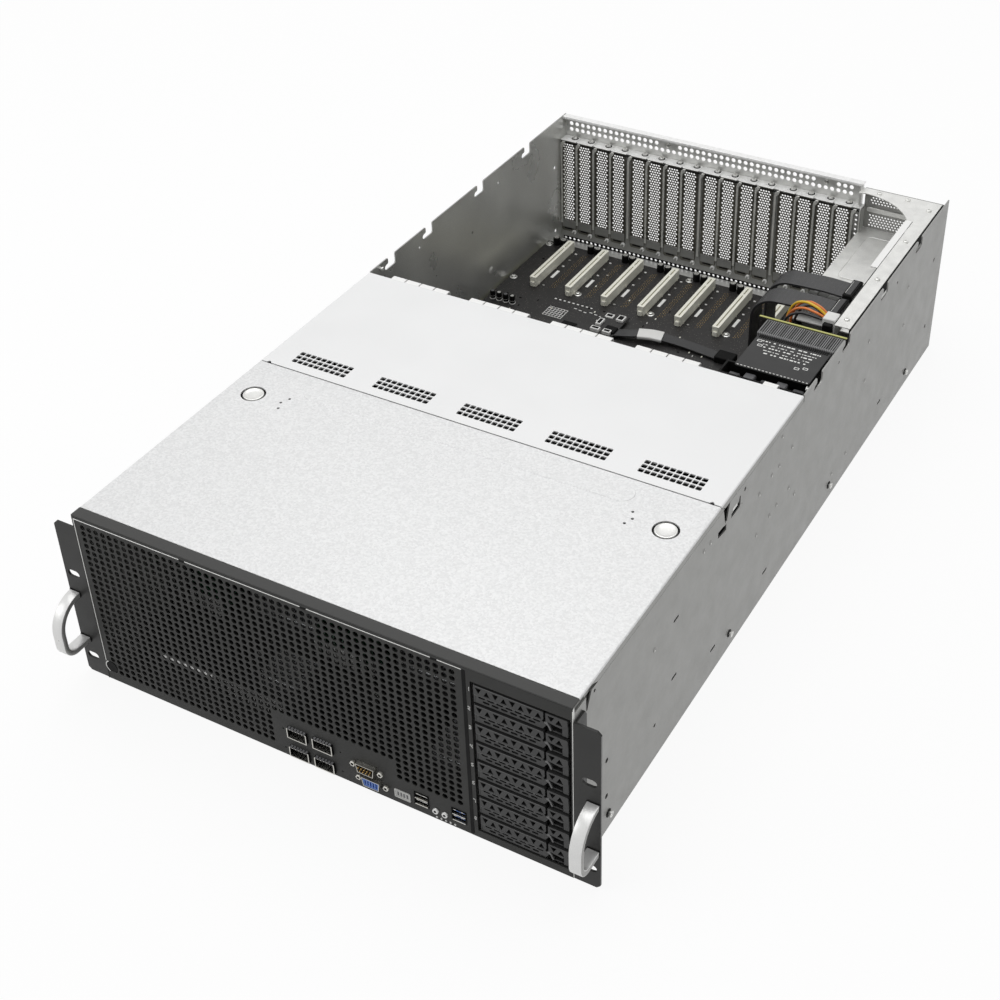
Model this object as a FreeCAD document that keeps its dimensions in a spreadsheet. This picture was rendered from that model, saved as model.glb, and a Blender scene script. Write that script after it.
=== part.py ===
import FreeCAD, Part
import math
import os
import Sketcher

# A 4U graphics server for a 19-inch rack, 440 mm wide between its ears.
# X runs to the right seen from the front, Y from front to rear, Z up.
# The origin is the centre of the bottom face of the case.

doc = FreeCAD.newDocument("gpu_server")
sheet = doc.addObject("Spreadsheet::Sheet", "Dimensions")

# Driving dimensions in millimetres
DIMENSIONS = {
    # case
    "width": 440, "depth": 800, "height": 174.5, "metal": 1.2, "panel_gap": 0.3,
    "cover_flange": 6.5, "flange_depth": 10,
    "front_cover_end": 242, "middle_cover_end": 410.5, "cover_tab_reach": 9, "cover_tab_width": 14.8,
    "cover_tab_pitch": 15.6, "cover_tab_spacing": 85.4,
    "notch_width": 12.5, "notch_depth": 11.5, "notch_pocket": 6, "pocket_rise": 5.5,
    "first_tab_inset": 23.7, "last_tab_inset": 38.7, "last_tab_width": 13.4,
    # rack ears and handles
    "ear_width": 21.3, "ear_foot": 0.5, "ear_drop": 14, "ear_flange": 16.5, "ear_metal": 2,
    "rack_hole_out": 12.55, "rack_hole_rise": 88.9, "rack_hole_low": 19.5,
    "rack_slot_length": 12, "rack_slot_width": 7,
    "handle_reach": 28, "handle_top": 89.5, "handle_foot": 36, "handle_bar": 4.6, "handle_width": 9.8,
    "handle_inset": 10.5, "handle_bend": 13,
    # front panel
    "grille_inset": 86.6, "grille_pitch": 26.4, "grille_hole": 20.8, "grille_edge": 14.8, "grille_drop": 16.5,
    "cage_inset": 83, "cage_side": 1.6, "cage_foot": 7.4, "cage_drop": 12.5,
    # drive trays
    "tray_pitch": 19.13, "tray_rise": 18.3, "tray_drop": 1.6, "tray_face": 9, "tray_inset": 79,
    "tray_side": 3.2, "tray_length": 118, "lever_length": 57.6, "lever_depth": 4,
    "drive_width": 69.8, "drive_length": 100, "drive_rise": 14.6, "runner": 1,
    # cover buttons
    "button_inset": 26, "button_from_front": 197, "button_radius": 9.7, "button_gap": 0.5,
    "button_length": 8,
    # pressed rib of the front cover
    "rib_left": 62, "rib_right": 65, "rib_from_front": 211, "rib_width": 21.7, "rib_line": 1.6,
    "rib_depth": 0.5,
    # fans
    "fan_size": 80, "fan_depth": 38, "fan_spacing": 84.4, "fan_bore": 38.2, "fan_drop": 50.5,
    "fan_wall_from_front": 300, "blade_reach": 36, "hub_radius": 16, "hub_length": 26,
    # boards
    "board": 1.6, "main_board_height": 8, "deck_height": 24, "card_board_height": 38,
    "card_board_front": 430, "card_board_rear": 752, "deck_front": 424, "bay_inset": 86,
    # expansion slots and their covers
    "slot_inset": 35.3, "slot_pitch": 43.4, "slot_length": 89, "slot_width": 7.6, "slot_rise": 11.3,
    "slot_front": 656, "slot_wall_inset": 13, "ledge_drop": 25.5,
    "bracket_inset": 10.6, "bracket_pitch": 20.32, "bracket_width": 18.4, "bracket_metal": 0.8,
    "pair_gap": 1.4, "group_gap": 4.1, "bracket_foot": 36,
    # power supplies
    "psu_width": 73.5, "psu_rise": 39, "psu_length": 185, "psu_gap": 0.2, "psu_shelf_height": 121.8,
    "bay_roof_width": 22, "bay_roof_front": 537,
    # front ports
    "port_reach": 2, "cage_pitch_x": 24, "cage_pitch_z": 20.6, "port_cage_width": 18.6,
    "port_cage_rise": 10.6, "port_cage_length": 50, "port_cage_inset": 166, "port_cage_foot": 2.6,
    "serial_inset": 92.2, "serial_height": 24.8, "vga_inset": 87.9, "vga_height": 12,
    "power_inset": 31.8, "reset_inset": 23.6, "front_button_height": 8.8, "front_button_radius": 2.6,
}
SUPPLIES = 3

for row, (alias, number) in enumerate(DIMENSIONS.items(), 1):
    sheet.set("A%d" % row, alias.replace("_", " "))
    sheet.set("B%d" % row, str(number))
    sheet.setAlias("B%d" % row, alias)
doc.recompute()


class Size:
    """A sheet cell, or a formula of such cells, with its present value."""

    def __init__(self, value, formula):
        self.value = float(value)
        self.formula = formula

    def __float__(self):
        return self.value

    def __add__(self, other):
        return Size(self.value + float(other), "(%s + %s)" % (self.formula, formula_of(other)))

    def __radd__(self, other):
        return self + other

    def __sub__(self, other):
        return Size(self.value - float(other), "(%s - %s)" % (self.formula, formula_of(other)))

    def __rsub__(self, other):
        return Size(float(other) - self.value, "(%s - %s)" % (formula_of(other), self.formula))

    def __mul__(self, other):
        return Size(self.value * float(other), "(%s * %s)" % (self.formula, formula_of(other)))

    def __rmul__(self, other):
        return self * other

    def __truediv__(self, other):
        return Size(self.value / float(other), "(%s / %s)" % (self.formula, formula_of(other)))

    def __neg__(self):
        return Size(-self.value, "(-1 * %s)" % self.formula)


def formula_of(size):
    return size.formula if isinstance(size, Size) else "%.6g" % size


def cell(alias):
    return Size(sheet.get(alias), "Dimensions." + alias)


def bind(item, prop, size):
    """Tie one property to the sheet."""
    item.setExpression(prop, formula_of(size))


def block(name, x, y, z):
    """A rectangular block between a pair of coordinates on each axis."""
    item = doc.addObject("Part::Box", name)
    for side, axis, (low, high) in zip(("Length", "Width", "Height"), "xyz", (x, y, z)):
        bind(item, side, high - low)
        bind(item, ".Placement.Base." + axis, low)
    return item


TURNS = {
    "x": FreeCAD.Rotation(FreeCAD.Vector(0, 1, 0), 90),
    "y": FreeCAD.Rotation(FreeCAD.Vector(1, 0, 0), -90),
    "z": FreeCAD.Rotation(),
}


def prism(name, axis, centre, radius, low, high, corners=12):
    """A many-sided bar along an axis; centre gives its other two coordinates in X, Y, Z order."""
    item = doc.addObject("Part::Prism", name)
    item.Polygon = corners
    item.Placement = FreeCAD.Placement(FreeCAD.Vector(), TURNS[axis])
    bind(item, "Circumradius", radius)
    bind(item, "Height", high - low)
    others = [a for a in "xyz" if a != axis]
    for letter, place in zip(others, centre):
        bind(item, ".Placement.Base." + letter, place)
    bind(item, ".Placement.Base." + axis, low)
    return item


def rod(name, axis, centre, radius, low, high):
    """A round bar along an axis; centre gives its other two coordinates in X, Y, Z order."""
    item = doc.addObject("Part::Cylinder", name)
    item.Placement = FreeCAD.Placement(FreeCAD.Vector(), TURNS[axis])
    bind(item, "Radius", radius)
    bind(item, "Height", high - low)
    others = [a for a in "xyz" if a != axis]
    for letter, place in zip(others, centre):
        bind(item, ".Placement.Base." + letter, place)
    bind(item, ".Placement.Base." + axis, low)
    return item


def joined(name, items):
    item = doc.addObject("Part::MultiFuse", name)
    item.Shapes = items
    item.Refine = True
    return item


def cut(name, base, tools):
    item = doc.addObject("Part::Cut", name)
    item.Base = base
    item.Tool = tools[0] if len(tools) == 1 else joined(name + "_tools", tools)
    item.Refine = True
    return item


def gathered(name, items):
    """Separate solids that share one node."""
    item = doc.addObject("Part::Compound", name)
    item.Links = items
    return item


NODES = []


def node(name, item):
    item.Label = name
    NODES.append(item)
    return item


def origin_feature(body, role):
    return next(f for f in body.Origin.OriginFeatures if f.Role == role)


def sketch_on(body, role, name, height=0.0):
    """A sketch on one of the body's own planes, lifted along that plane's normal."""
    item = body.newObject("Sketcher::SketchObject", name)
    item.AttachmentSupport = [(origin_feature(body, role), "")]
    item.MapMode = "FlatFace"
    bind(item, ".AttachmentOffset.Base.z", height)
    return item


def pin(item, geometry, end, corner):
    """Hold one end of a sketch edge at a pair of sizes."""
    for kind, size in zip(("DistanceX", "DistanceY"), corner):
        if abs(float(size)) < 1e-9:
            other = "PointOnObject"
            item.addConstraint(Sketcher.Constraint(other, geometry, end, -2 if kind == "DistanceX" else -1))
            continue
        index = item.addConstraint(Sketcher.Constraint(kind, -1, 1, geometry, end, float(size)))
        bind(item, "Constraints[%d]" % index, size)


def contour(item, corners, arcs=None):
    """A closed line through corners; an edge listed in arcs turns about its centre, +1 or -1."""
    arcs = arcs or {}
    first = item.GeometryCount
    points = [FreeCAD.Vector(float(x), float(y), 0) for x, y in corners]
    ends = []
    for index, start in enumerate(points):
        stop = points[(index + 1) % len(points)]
        if index in arcs:
            (cx, cy), turn = arcs[index]
            centre = FreeCAD.Vector(float(cx), float(cy), 0)
            circle = Part.Circle(centre, FreeCAD.Vector(0, 0, 1), (start - centre).Length)
            a, b = (start, stop) if turn > 0 else (stop, start)
            angles = [math.atan2(p.y - centre.y, p.x - centre.x) for p in (a, b)]
            item.addGeometry(Part.ArcOfCircle(circle, angles[0], angles[1]), False)
            ends.append((1, 2) if turn > 0 else (2, 1))
        else:
            item.addGeometry(Part.LineSegment(start, stop), False)
            ends.append((1, 2))
    for index, corner in enumerate(corners):
        before = (index - 1) % len(corners)
        item.addConstraint(Sketcher.Constraint(
            "Coincident", first + before, ends[before][1], first + index, ends[index][0]))
        pin(item, first + index, ends[index][0], corner)
    for index, (centre, _) in arcs.items():
        chord = points[(index + 1) % len(points)] - points[index]
        kind, size = ("DistanceX", centre[0]) if abs(chord.y) > abs(chord.x) else ("DistanceY", centre[1])
        limit = item.addConstraint(Sketcher.Constraint(kind, -1, 1, first + index, 3, float(size)))
        bind(item, "Constraints[%d]" % limit, size)


def rectangle(item, x, y):
    contour(item, [(x[0], y[0]), (x[1], y[0]), (x[1], y[1]), (x[0], y[1])])


def pad(body, profile, length, name="Pad", mirrored=False):
    item = body.newObject("PartDesign::Pad", name)
    item.Profile = profile
    bind(item, "Length", length)
    item.Midplane = mirrored
    profile.Visibility = False
    return item


def pocket_through(body, profile, name="Pocket"):
    item = body.newObject("PartDesign::Pocket", name)
    item.Profile = profile
    item.Type = 1
    item.Midplane = True
    return item


WIDTH = cell("width")
HEIGHT = cell("height")
METAL = cell("metal")
GAP = cell("panel_gap")
BOARD = cell("board")
HALF = WIDTH / 2
FRONT = -cell("depth") / 2
REAR = cell("depth") / 2
INNER = HALF - METAL
SEAM = HEIGHT - cell("cover_flange")
COVER_UNDER = HEIGHT - METAL
FLANGE_END = FRONT + cell("flange_depth")
FRONT_COVER_END = FRONT + cell("front_cover_end")
MIDDLE_COVER_END = FRONT + cell("middle_cover_end")
TABS_END = MIDDLE_COVER_END + cell("cover_tab_reach")
SLOT_WALL = REAR - cell("slot_wall_inset")
BAY_WALL = HALF - cell("bay_inset")
DECK = cell("deck_height")
CARD_BOARD = cell("card_board_height")
LEDGE = HEIGHT - cell("ledge_drop")
CAGE_FOOT = cell("cage_foot")
CAGE_TOP = HEIGHT - cell("cage_drop")

# How many of each repeated piece the case has room for
TRAYS = int(float(CAGE_TOP - CAGE_FOOT) / float(cell("tray_pitch")))
FANS = int(float(2 * INNER) / float(cell("fan_spacing")))
CARD_SLOTS = int(float(BAY_WALL + INNER) / float(cell("slot_pitch")))
BRACKETS = 2 * CARD_SLOTS

# Case, whose side walls step inwards under the flanges of the two covers
JOGGLE = METAL + GAP
WALL_STEP = MIDDLE_COVER_END + METAL + GAP
J_NOTCHES = [441.3, 508.5, 607.5, 705.7]


def side_wall(side, name):
    def across(near, far):
        return (-far, -near) if side < 0 else (near, far)

    shelf = SEAM - GAP
    lower = block(name + "_lower", across(INNER, HALF), (FRONT + METAL, REAR), (0, shelf))
    upper = block(name + "_upper", across(INNER - JOGGLE, HALF - JOGGLE), (FRONT + METAL, WALL_STEP),
                  (shelf - METAL, COVER_UNDER))
    step = block(name + "_step", across(INNER - JOGGLE, HALF), (FRONT + METAL, WALL_STEP),
                 (shelf - METAL, shelf))
    rear = block(name + "_rear", across(INNER - JOGGLE, HALF), (WALL_STEP - METAL, WALL_STEP),
                 (shelf, COVER_UNDER))
    tall = block(name + "_tall", across(INNER, HALF), (WALL_STEP - METAL, REAR), (shelf, HEIGHT))
    notches = []
    for index, place in enumerate(J_NOTCHES):
        start = FRONT + place
        floor = HEIGHT - cell("notch_depth")
        notches.append(block("%s_notch_%d" % (name, index), across(INNER - 1, HALF + 1),
                             (start, start + cell("notch_width")), (floor + 3, HEIGHT + 1)))
        notches.append(block("%s_pocket_%d" % (name, index), across(INNER - 1, HALF + 1),
                             (start - cell("notch_pocket"), start + cell("notch_width")),
                             (floor, floor + cell("pocket_rise"))))
    return cut(name, joined(name + "_sheet", [lower, upper, step, rear, tall]), notches)


floor = block("floor", (-HALF, HALF), (FRONT + METAL, REAR), (0, METAL))
side_walls = [side_wall(-1, "left_wall"), side_wall(1, "right_wall")]
node("chassis_base", joined("chassis_base", [floor] + side_walls))

# Slot places across the rear: pairs, with a wider bar after every second pair


def bracket_x(index):
    pairs = (index + 2) // 4
    groups = index // 4
    return (cell("bracket_inset") - INNER + index * cell("bracket_pitch") + pairs * cell("pair_gap")
            + groups * cell("group_gap"))


def slot_x(index):
    return cell("slot_inset") - INNER + index * cell("slot_pitch")


# Rear panel: top strip, ledge for the slot covers, slot wall set in, and the power supply side
slot_wall = block("slot_wall", (-INNER, BAY_WALL), (SLOT_WALL - METAL, SLOT_WALL), (METAL, LEDGE))
windows = []
for index in range(BRACKETS):
    middle = bracket_x(index)
    windows.append(block("window_%d" % index, (middle - 7.2, middle + 7.2),
                         (SLOT_WALL - METAL - 1, SLOT_WALL + 1), (DECK + 22, LEDGE - METAL)))
foot_slots = [block("foot_slot_%d" % index, (slot_x(index) - 14, slot_x(index) + 14),
                    (SLOT_WALL - METAL - 1, SLOT_WALL + 1), (DECK + 1, DECK + 5))
              for index in range(CARD_SLOTS - 1)]
slot_sheet = cut("slot_sheet", slot_wall, windows + foot_slots)
ledge = block("ledge", (-INNER, BAY_WALL), (SLOT_WALL - METAL, REAR), (LEDGE - METAL, LEDGE))
top_strip = block("top_strip", (-INNER, BAY_WALL - 4), (REAR - METAL, REAR), (LEDGE - METAL, HEIGHT))
strip_slots = [block("strip_slot_%d" % index, (slot_x(index) - 16, slot_x(index) + 12),
                     (REAR - METAL - 1, REAR + 1), (LEDGE + 5.5, LEDGE + 17))
               for index in range(CARD_SLOTS - 1)]
top_sheet = cut("top_sheet", top_strip, strip_slots)
top_lip = block("top_lip", (-INNER, BAY_WALL - 4), (REAR - 6, REAR), (HEIGHT - METAL, HEIGHT))
bay_post = block("bay_post", (BAY_WALL - METAL, BAY_WALL), (SLOT_WALL - METAL, REAR), (METAL, LEDGE))
ROOF = SEAM
SHELF_TOP = cell("psu_shelf_height")
BAND = (ROOF - SHELF_TOP - 2.2) / 2
bay_grille = block("bay_grille", (BAY_WALL - METAL, INNER), (REAR - METAL, REAR),
                   (SHELF_TOP + METAL, ROOF))
grille_slots = [block("bay_slot_%d_%d" % (row, index),
                      (BAY_WALL + 5 + index * 13, BAY_WALL + 14 + index * 13),
                      (REAR - METAL - 1, REAR + 1),
                      (SHELF_TOP + 5 + row * BAND, SHELF_TOP - 2 + (row + 1) * BAND))
                for row in range(2) for index in range(6)]
bay_rib = block("bay_rib", (BAY_WALL, INNER), (REAR - METAL - 1.5, REAR - METAL),
                (SHELF_TOP + BAND - 1, SHELF_TOP + BAND + 4))
node("rear_panel", joined("rear_panel", [
    slot_sheet, ledge, top_sheet, top_lip, bay_post,
    cut("bay_sheet", bay_grille, grille_slots), bay_rib]))

# Slot covers: a face with air windows and a tab bent out over the ledge


def slot_cover(index):
    body = doc.addObject("PartDesign::Body", "SlotCover%02d" % index)
    bind(body, ".Placement.Base.x", bracket_x(index) - cell("bracket_width") / 2)
    thin = cell("bracket_metal")
    side = sketch_on(body, "YZ_Plane", "Side%02d" % index)
    face = SLOT_WALL - METAL
    contour(side, [(face - thin, cell("bracket_foot")), (face, cell("bracket_foot")), (face, LEDGE),
                   (REAR - METAL - 0.5, LEDGE), (REAR - METAL - 0.5, LEDGE + thin), (face - thin, LEDGE + thin)])
    pad(body, side, cell("bracket_width"), "Sheet%02d" % index)
    holes = sketch_on(body, "XZ_Plane", "Windows%02d" % index, -face)
    first = cell("bracket_foot") + 14
    step = (LEDGE - 3 - first) / 3
    for row in range(3):
        foot = first + row * step
        rectangle(holes, (4, cell("bracket_width") - 4), (foot, foot + step - 4))
    windows_cut = body.newObject("PartDesign::Pocket", "Openings%02d" % index)
    windows_cut.Profile = holes
    windows_cut.Midplane = True
    bind(windows_cut, "Length", 4 * thin)
    body.Tip = windows_cut
    return body


node("slot_covers", gathered("slot_covers", [slot_cover(i) for i in range(BRACKETS)]))

# Front frame: top flange, divider beside the grille, and the frame of the drive bay
GRILLE_RIGHT = HALF - cell("grille_inset")
CAGE_LEFT = HALF - cell("cage_inset")
CAGE_RIGHT = HALF - cell("cage_side")
drive_frame = block("drive_frame", (GRILLE_RIGHT, HALF), (FRONT, FRONT + METAL), (0, HEIGHT))
THROUGH_FRONT = (FRONT - 1, FRONT + METAL + 1)
drive_hole = block("drive_hole", (CAGE_LEFT, CAGE_RIGHT), THROUGH_FRONT, (CAGE_FOOT, CAGE_TOP))
node("front_frame", joined("front_frame", [
    cut("drive_surround", drive_frame, [drive_hole]),
    block("divider_return", (GRILLE_RIGHT, GRILLE_RIGHT + METAL), (FRONT, FLANGE_END), (METAL, COVER_UNDER)),
    block("top_flange", (-HALF, HALF), (FRONT, FLANGE_END), (COVER_UNDER, HEIGHT)),
    block("left_return", (-HALF, -INNER), (FRONT, FRONT + METAL), (0, HEIGHT))]))

# Front grille: a perforated plate that also carries the port cut-outs.
# The air holes stand at three times their real pitch, in the three fields that the plate has.
PORT_LEFT = GRILLE_RIGHT - cell("port_cage_inset")
PORT_FOOT = cell("port_cage_foot")
SERIAL = (GRILLE_RIGHT - cell("serial_inset"), cell("serial_height"))
VGA = (GRILLE_RIGHT - cell("vga_inset"), cell("vga_height"))
BUTTONS = {"power": GRILLE_RIGHT - cell("power_inset"), "reset": GRILLE_RIGHT - cell("reset_inset")}
BUTTON_Z = cell("front_button_height")
DISPLAY_LEFT = GRILLE_RIGHT - 68.6
LIGHTS_LEFT = GRILLE_RIGHT - 32
USB_LEFT = [GRILLE_RIGHT - 50.6, GRILLE_RIGHT - 17.4]
USB_WIDTH = 13
USB_RISE = 13
USB_FOOT = cell("main_board_height")
AIR_X = cell("grille_edge") - INNER
AIR_Z = HEIGHT - cell("grille_drop")
AIR_RADIUS = cell("grille_hole") / 2


def port_cage_corner(column, row):
    return PORT_LEFT + column * cell("cage_pitch_x"), PORT_FOOT + row * cell("cage_pitch_z")


def port_openings():
    """The cut-outs in the lower right of the plate, as pairs of X and Z spans."""
    spans = []
    for column in range(2):
        for row in range(2):
            x, z = port_cage_corner(column, row)
            spans.append(((x - 0.2, x + cell("port_cage_width") + 0.2),
                          (z - 0.2, z + cell("port_cage_rise") + 0.2)))
    for x, z in (SERIAL, VGA):
        spans.append(((x - 9, x + 9), (z - 4.6, z + 4.6)))
    spans.append(((DISPLAY_LEFT - 0.2, DISPLAY_LEFT + 14.6), (5.8, 15)))
    for left in USB_LEFT:
        spans.append(((left - 0.2, left + USB_WIDTH + 0.2), (USB_FOOT - 0.2, USB_FOOT + USB_RISE + 0.2)))
    return spans


def steps_between(start, stop):
    """How many holes of the grille's pitch stand between a pair of coordinates."""
    return int(abs(float(stop - start)) / float(cell("grille_pitch"))) + 1


def hole_field(name, first_column, columns, first_row, rows):
    """One rectangular field of air holes."""
    holes = []
    for row in range(first_row, first_row + rows):
        z = AIR_Z - row * cell("grille_pitch")
        for column in range(first_column, first_column + columns):
            x = AIR_X + column * cell("grille_pitch")
            holes.append(prism("%s_%d_%d" % (name, row, column), "y", (x, z), AIR_RADIUS,
                               FRONT - 1, FRONT + METAL + 1, 6))
    return holes


def grille():
    plate = block("grille_plate", (-INNER, GRILLE_RIGHT), (FRONT, FRONT + METAL), (0, COVER_UNDER))
    cuts = [block("port_opening_%d" % k, x, (FRONT - 1, FRONT + METAL + 1), z)
            for k, (x, z) in enumerate(port_openings())]
    for name, x in BUTTONS.items():
        cuts.append(prism(name + "_opening", "y", (x, BUTTON_Z),
                          cell("front_button_radius") + 0.4, FRONT - 1, FRONT + METAL + 1, 16))
    cuts.append(block("light_opening", (LIGHTS_LEFT - 0.4, LIGHTS_LEFT + 18), THROUGH_FRONT, (METAL, 3.1)))
    columns = steps_between(AIR_X, GRILLE_RIGHT - 9)
    left_columns = steps_between(AIR_X, PORT_LEFT - 20)
    right_columns = steps_between(DISPLAY_LEFT + 26, GRILLE_RIGHT - 9)
    high_rows = steps_between(AIR_Z, 2 * PORT_FOOT + 50)
    left_rows = steps_between(AIR_Z, AIR_RADIUS + 5)
    right_rows = steps_between(AIR_Z, USB_FOOT + USB_RISE + AIR_RADIUS + 4)
    cuts += hole_field("air_high", 0, columns, 0, high_rows)
    cuts += hole_field("air_left", 0, left_columns, high_rows, left_rows - high_rows)
    cuts += hole_field("air_right", columns - right_columns, right_columns, high_rows, right_rows - high_rows)
    item = doc.addObject("Part::Cut", "front_grille")
    item.Base = plate
    item.Tool = gathered("grille_openings", cuts)
    return item


node("front_grille", grille())

# Covers: a flat top with flanges folded down over the stepped side walls


def cover_sheet(name, start, end):
    body = doc.addObject("PartDesign::Body", name)
    section = sketch_on(body, "XZ_Plane", name + "Section", -start)
    contour(section, [(-HALF, SEAM), (-INNER, SEAM), (-INNER, COVER_UNDER), (INNER, COVER_UNDER),
                      (INNER, SEAM), (HALF, SEAM), (HALF, HEIGHT), (-HALF, HEIGHT)])
    shell = pad(body, section, end - start, name + "Shell")
    shell.Reversed = True
    return body


front_cover = cover_sheet("FrontCover", FLANGE_END + GAP / 2, FRONT_COVER_END - GAP / 2)
button_holes = sketch_on(front_cover, "XY_Plane", "ButtonHoles")
for side in (-1, 1):
    place = (side * (HALF - cell("button_inset")), FRONT + cell("button_from_front"))
    radius = cell("button_radius") + cell("button_gap")
    centre = FreeCAD.Vector(float(place[0]), float(place[1]), 0)
    index = button_holes.addGeometry(Part.Circle(centre, FreeCAD.Vector(0, 0, 1), float(radius)), False)
    pin(button_holes, index, 3, place)
    limit = button_holes.addConstraint(Sketcher.Constraint("Radius", index, float(radius)))
    bind(button_holes, "Constraints[%d]" % limit, radius)
pocket_through(front_cover, button_holes, "ButtonCut")


def rounded_bar(item, x, y, corner):
    """A long bar with its four corners taken off."""
    contour(item, [(x[0] + corner, y[0]), (x[1] - corner, y[0]), (x[1], y[0] + corner),
                   (x[1], y[1] - corner), (x[1] - corner, y[1]), (x[0] + corner, y[1]),
                   (x[0], y[1] - corner), (x[0], y[0] + corner)])


rib = sketch_on(front_cover, "XY_Plane", "RibOutline", HEIGHT)
rib_x = (cell("rib_left") - HALF, HALF - cell("rib_right"))
rib_y = (FRONT + cell("rib_from_front"), FRONT + cell("rib_from_front") + cell("rib_width"))
line = cell("rib_line")
rounded_bar(rib, rib_x, rib_y, cell("rib_width") / 3)
rounded_bar(rib, (rib_x[0] + line, rib_x[1] - line), (rib_y[0] + line, rib_y[1] - line),
            cell("rib_width") / 3 - line / 2)
rib_groove = front_cover.newObject("PartDesign::Pocket", "RibGroove")
rib_groove.Profile = rib
bind(rib_groove, "Length", cell("rib_depth"))
rib.Visibility = False
front_cover.Tip = rib_groove
node("front_cover", front_cover)

middle_cover = cover_sheet("MiddleCover", FRONT_COVER_END + GAP / 2, MIDDLE_COVER_END)
vents = []
for group in range(FANS):
    centre = (group - (FANS - 1) / 2) * cell("fan_spacing")
    for column in range(5):
        left = centre - 26 + column * 10.6
        vents.append(block("vent_%d_%d" % (group, column), (left, left + 9), (FRONT + 253, FRONT + 269),
                           (COVER_UNDER - 1, HEIGHT + 1)))
vented_cover = doc.addObject("Part::Cut", "vented_cover")
vented_cover.Base = middle_cover
vented_cover.Tool = gathered("vents", vents)
cover_tabs = []
for group in range(4):
    for index in range(4):
        left = (cell("first_tab_inset") - HALF + group * cell("cover_tab_spacing")
                + index * cell("cover_tab_pitch"))
        cover_tabs.append(block("cover_tab_%d_%d" % (group, index), (left, left + cell("cover_tab_width")),
                                (MIDDLE_COVER_END - 1.5, TABS_END), (COVER_UNDER - METAL, COVER_UNDER)))
last_tab = HALF - cell("last_tab_inset")
cover_tabs.append(block("cover_tab_last", (last_tab, last_tab + cell("last_tab_width")),
                        (MIDDLE_COVER_END - 1.5, TABS_END),
                        (COVER_UNDER - METAL, COVER_UNDER)))
node("middle_cover", joined("middle_cover", [vented_cover] + cover_tabs))

# Cover release buttons
for side, name in ((-1, "left"), (1, "right")):
    centre = (side * (HALF - cell("button_inset")), FRONT + cell("button_from_front"))
    node("cover_button_" + name, prism("cover_button_" + name, "z", centre, cell("button_radius"),
                                       HEIGHT - cell("button_length"), HEIGHT, 32))

# Rack ears: an angle with slotted holes, and a bow handle on each
EAR_METAL = cell("ear_metal")
EAR_TIP = HALF + cell("ear_width")


def rack_ear(side, name):
    body = doc.addObject("PartDesign::Body", "RackEar" + name)
    section = sketch_on(body, "XY_Plane", "EarSection" + name, cell("ear_foot"))
    flange_end = FRONT + cell("ear_flange")
    corners = [(side * HALF, FRONT), (side * EAR_TIP, FRONT), (side * EAR_TIP, FRONT + EAR_METAL),
               (side * (HALF + EAR_METAL), FRONT + EAR_METAL), (side * (HALF + EAR_METAL), flange_end),
               (side * HALF, flange_end)]
    contour(section, corners)
    pad(body, section, HEIGHT - cell("ear_drop") - cell("ear_foot"), "EarAngle" + name)
    slots = sketch_on(body, "XZ_Plane", "RackSlots" + name, -FRONT)
    reach = cell("rack_slot_length") / 2 - cell("rack_slot_width") / 2
    half = cell("rack_slot_width") / 2
    for rise in (0, 1):
        x = side * (HALF + cell("rack_hole_out"))
        z = cell("rack_hole_low") + rise * cell("rack_hole_rise")
        contour(slots, [(x - reach, z - half), (x + reach, z - half),
                        (x + reach, z + half), (x - reach, z + half)],
                {1: ((x + reach, z), 1), 3: ((x - reach, z), 1)})
    slot_cut = body.newObject("PartDesign::Pocket", "RackSlotCut" + name)
    slot_cut.Profile = slots
    slot_cut.Midplane = True
    bind(slot_cut, "Length", 4 * EAR_METAL)
    body.Tip = slot_cut
    return body


def handle(side, name):
    body = doc.addObject("PartDesign::Body", "Handle" + name)
    near = EAR_TIP - cell("handle_inset")
    start = near if side > 0 else -near - cell("handle_width")
    side_view = sketch_on(body, "YZ_Plane", "HandleBow" + name, start)
    bar = cell("handle_bar")
    out = cell("handle_reach")
    top = cell("handle_top")
    foot = cell("handle_foot")
    bend = cell("handle_bend")
    face = FRONT
    contour(side_view, [
        (face, top), (face - out, top - out), (face - out, foot + bend),
        (face - out + bend, foot), (face, foot),
        (face, foot + bar), (face - out + bend, foot + bar), (face - out + bar, foot + bend),
        (face - out + bar, top - out), (face, top - bar)],
        {0: ((face, top - out), 1), 2: ((face - out + bend, foot + bend), 1),
         6: ((face - out + bend, foot + bend), -1), 8: ((face, top - out), -1)})
    body.Tip = pad(body, side_view, cell("handle_width"), "HandleBar" + name)
    return body


for side, name in ((-1, "left"), (1, "right")):
    node("rack_ear_" + name, rack_ear(side, name.capitalize()))
    node("handle_" + name, handle(side, name.capitalize()))

# Drive cage, trays and their levers
TRAY_LEFT = HALF - cell("tray_inset")
TRAY_RIGHT = HALF - cell("tray_side")
LEVER_SPLIT = TRAY_LEFT + cell("lever_length")
BACKPLANE = FRONT + cell("tray_length")
CAGE_END = BACKPLANE + BOARD
SLIDE_GAP = 0.3
CAGE_WALL = INNER - JOGGLE - METAL
RAIL_LEFT = TRAY_LEFT - 1.6
RAIL_RIGHT = CAGE_WALL - 0.5
RAIL = 2.8


def tray_z(index):
    return CAGE_TOP - cell("tray_drop") - cell("tray_rise") - index * cell("tray_pitch")


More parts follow.
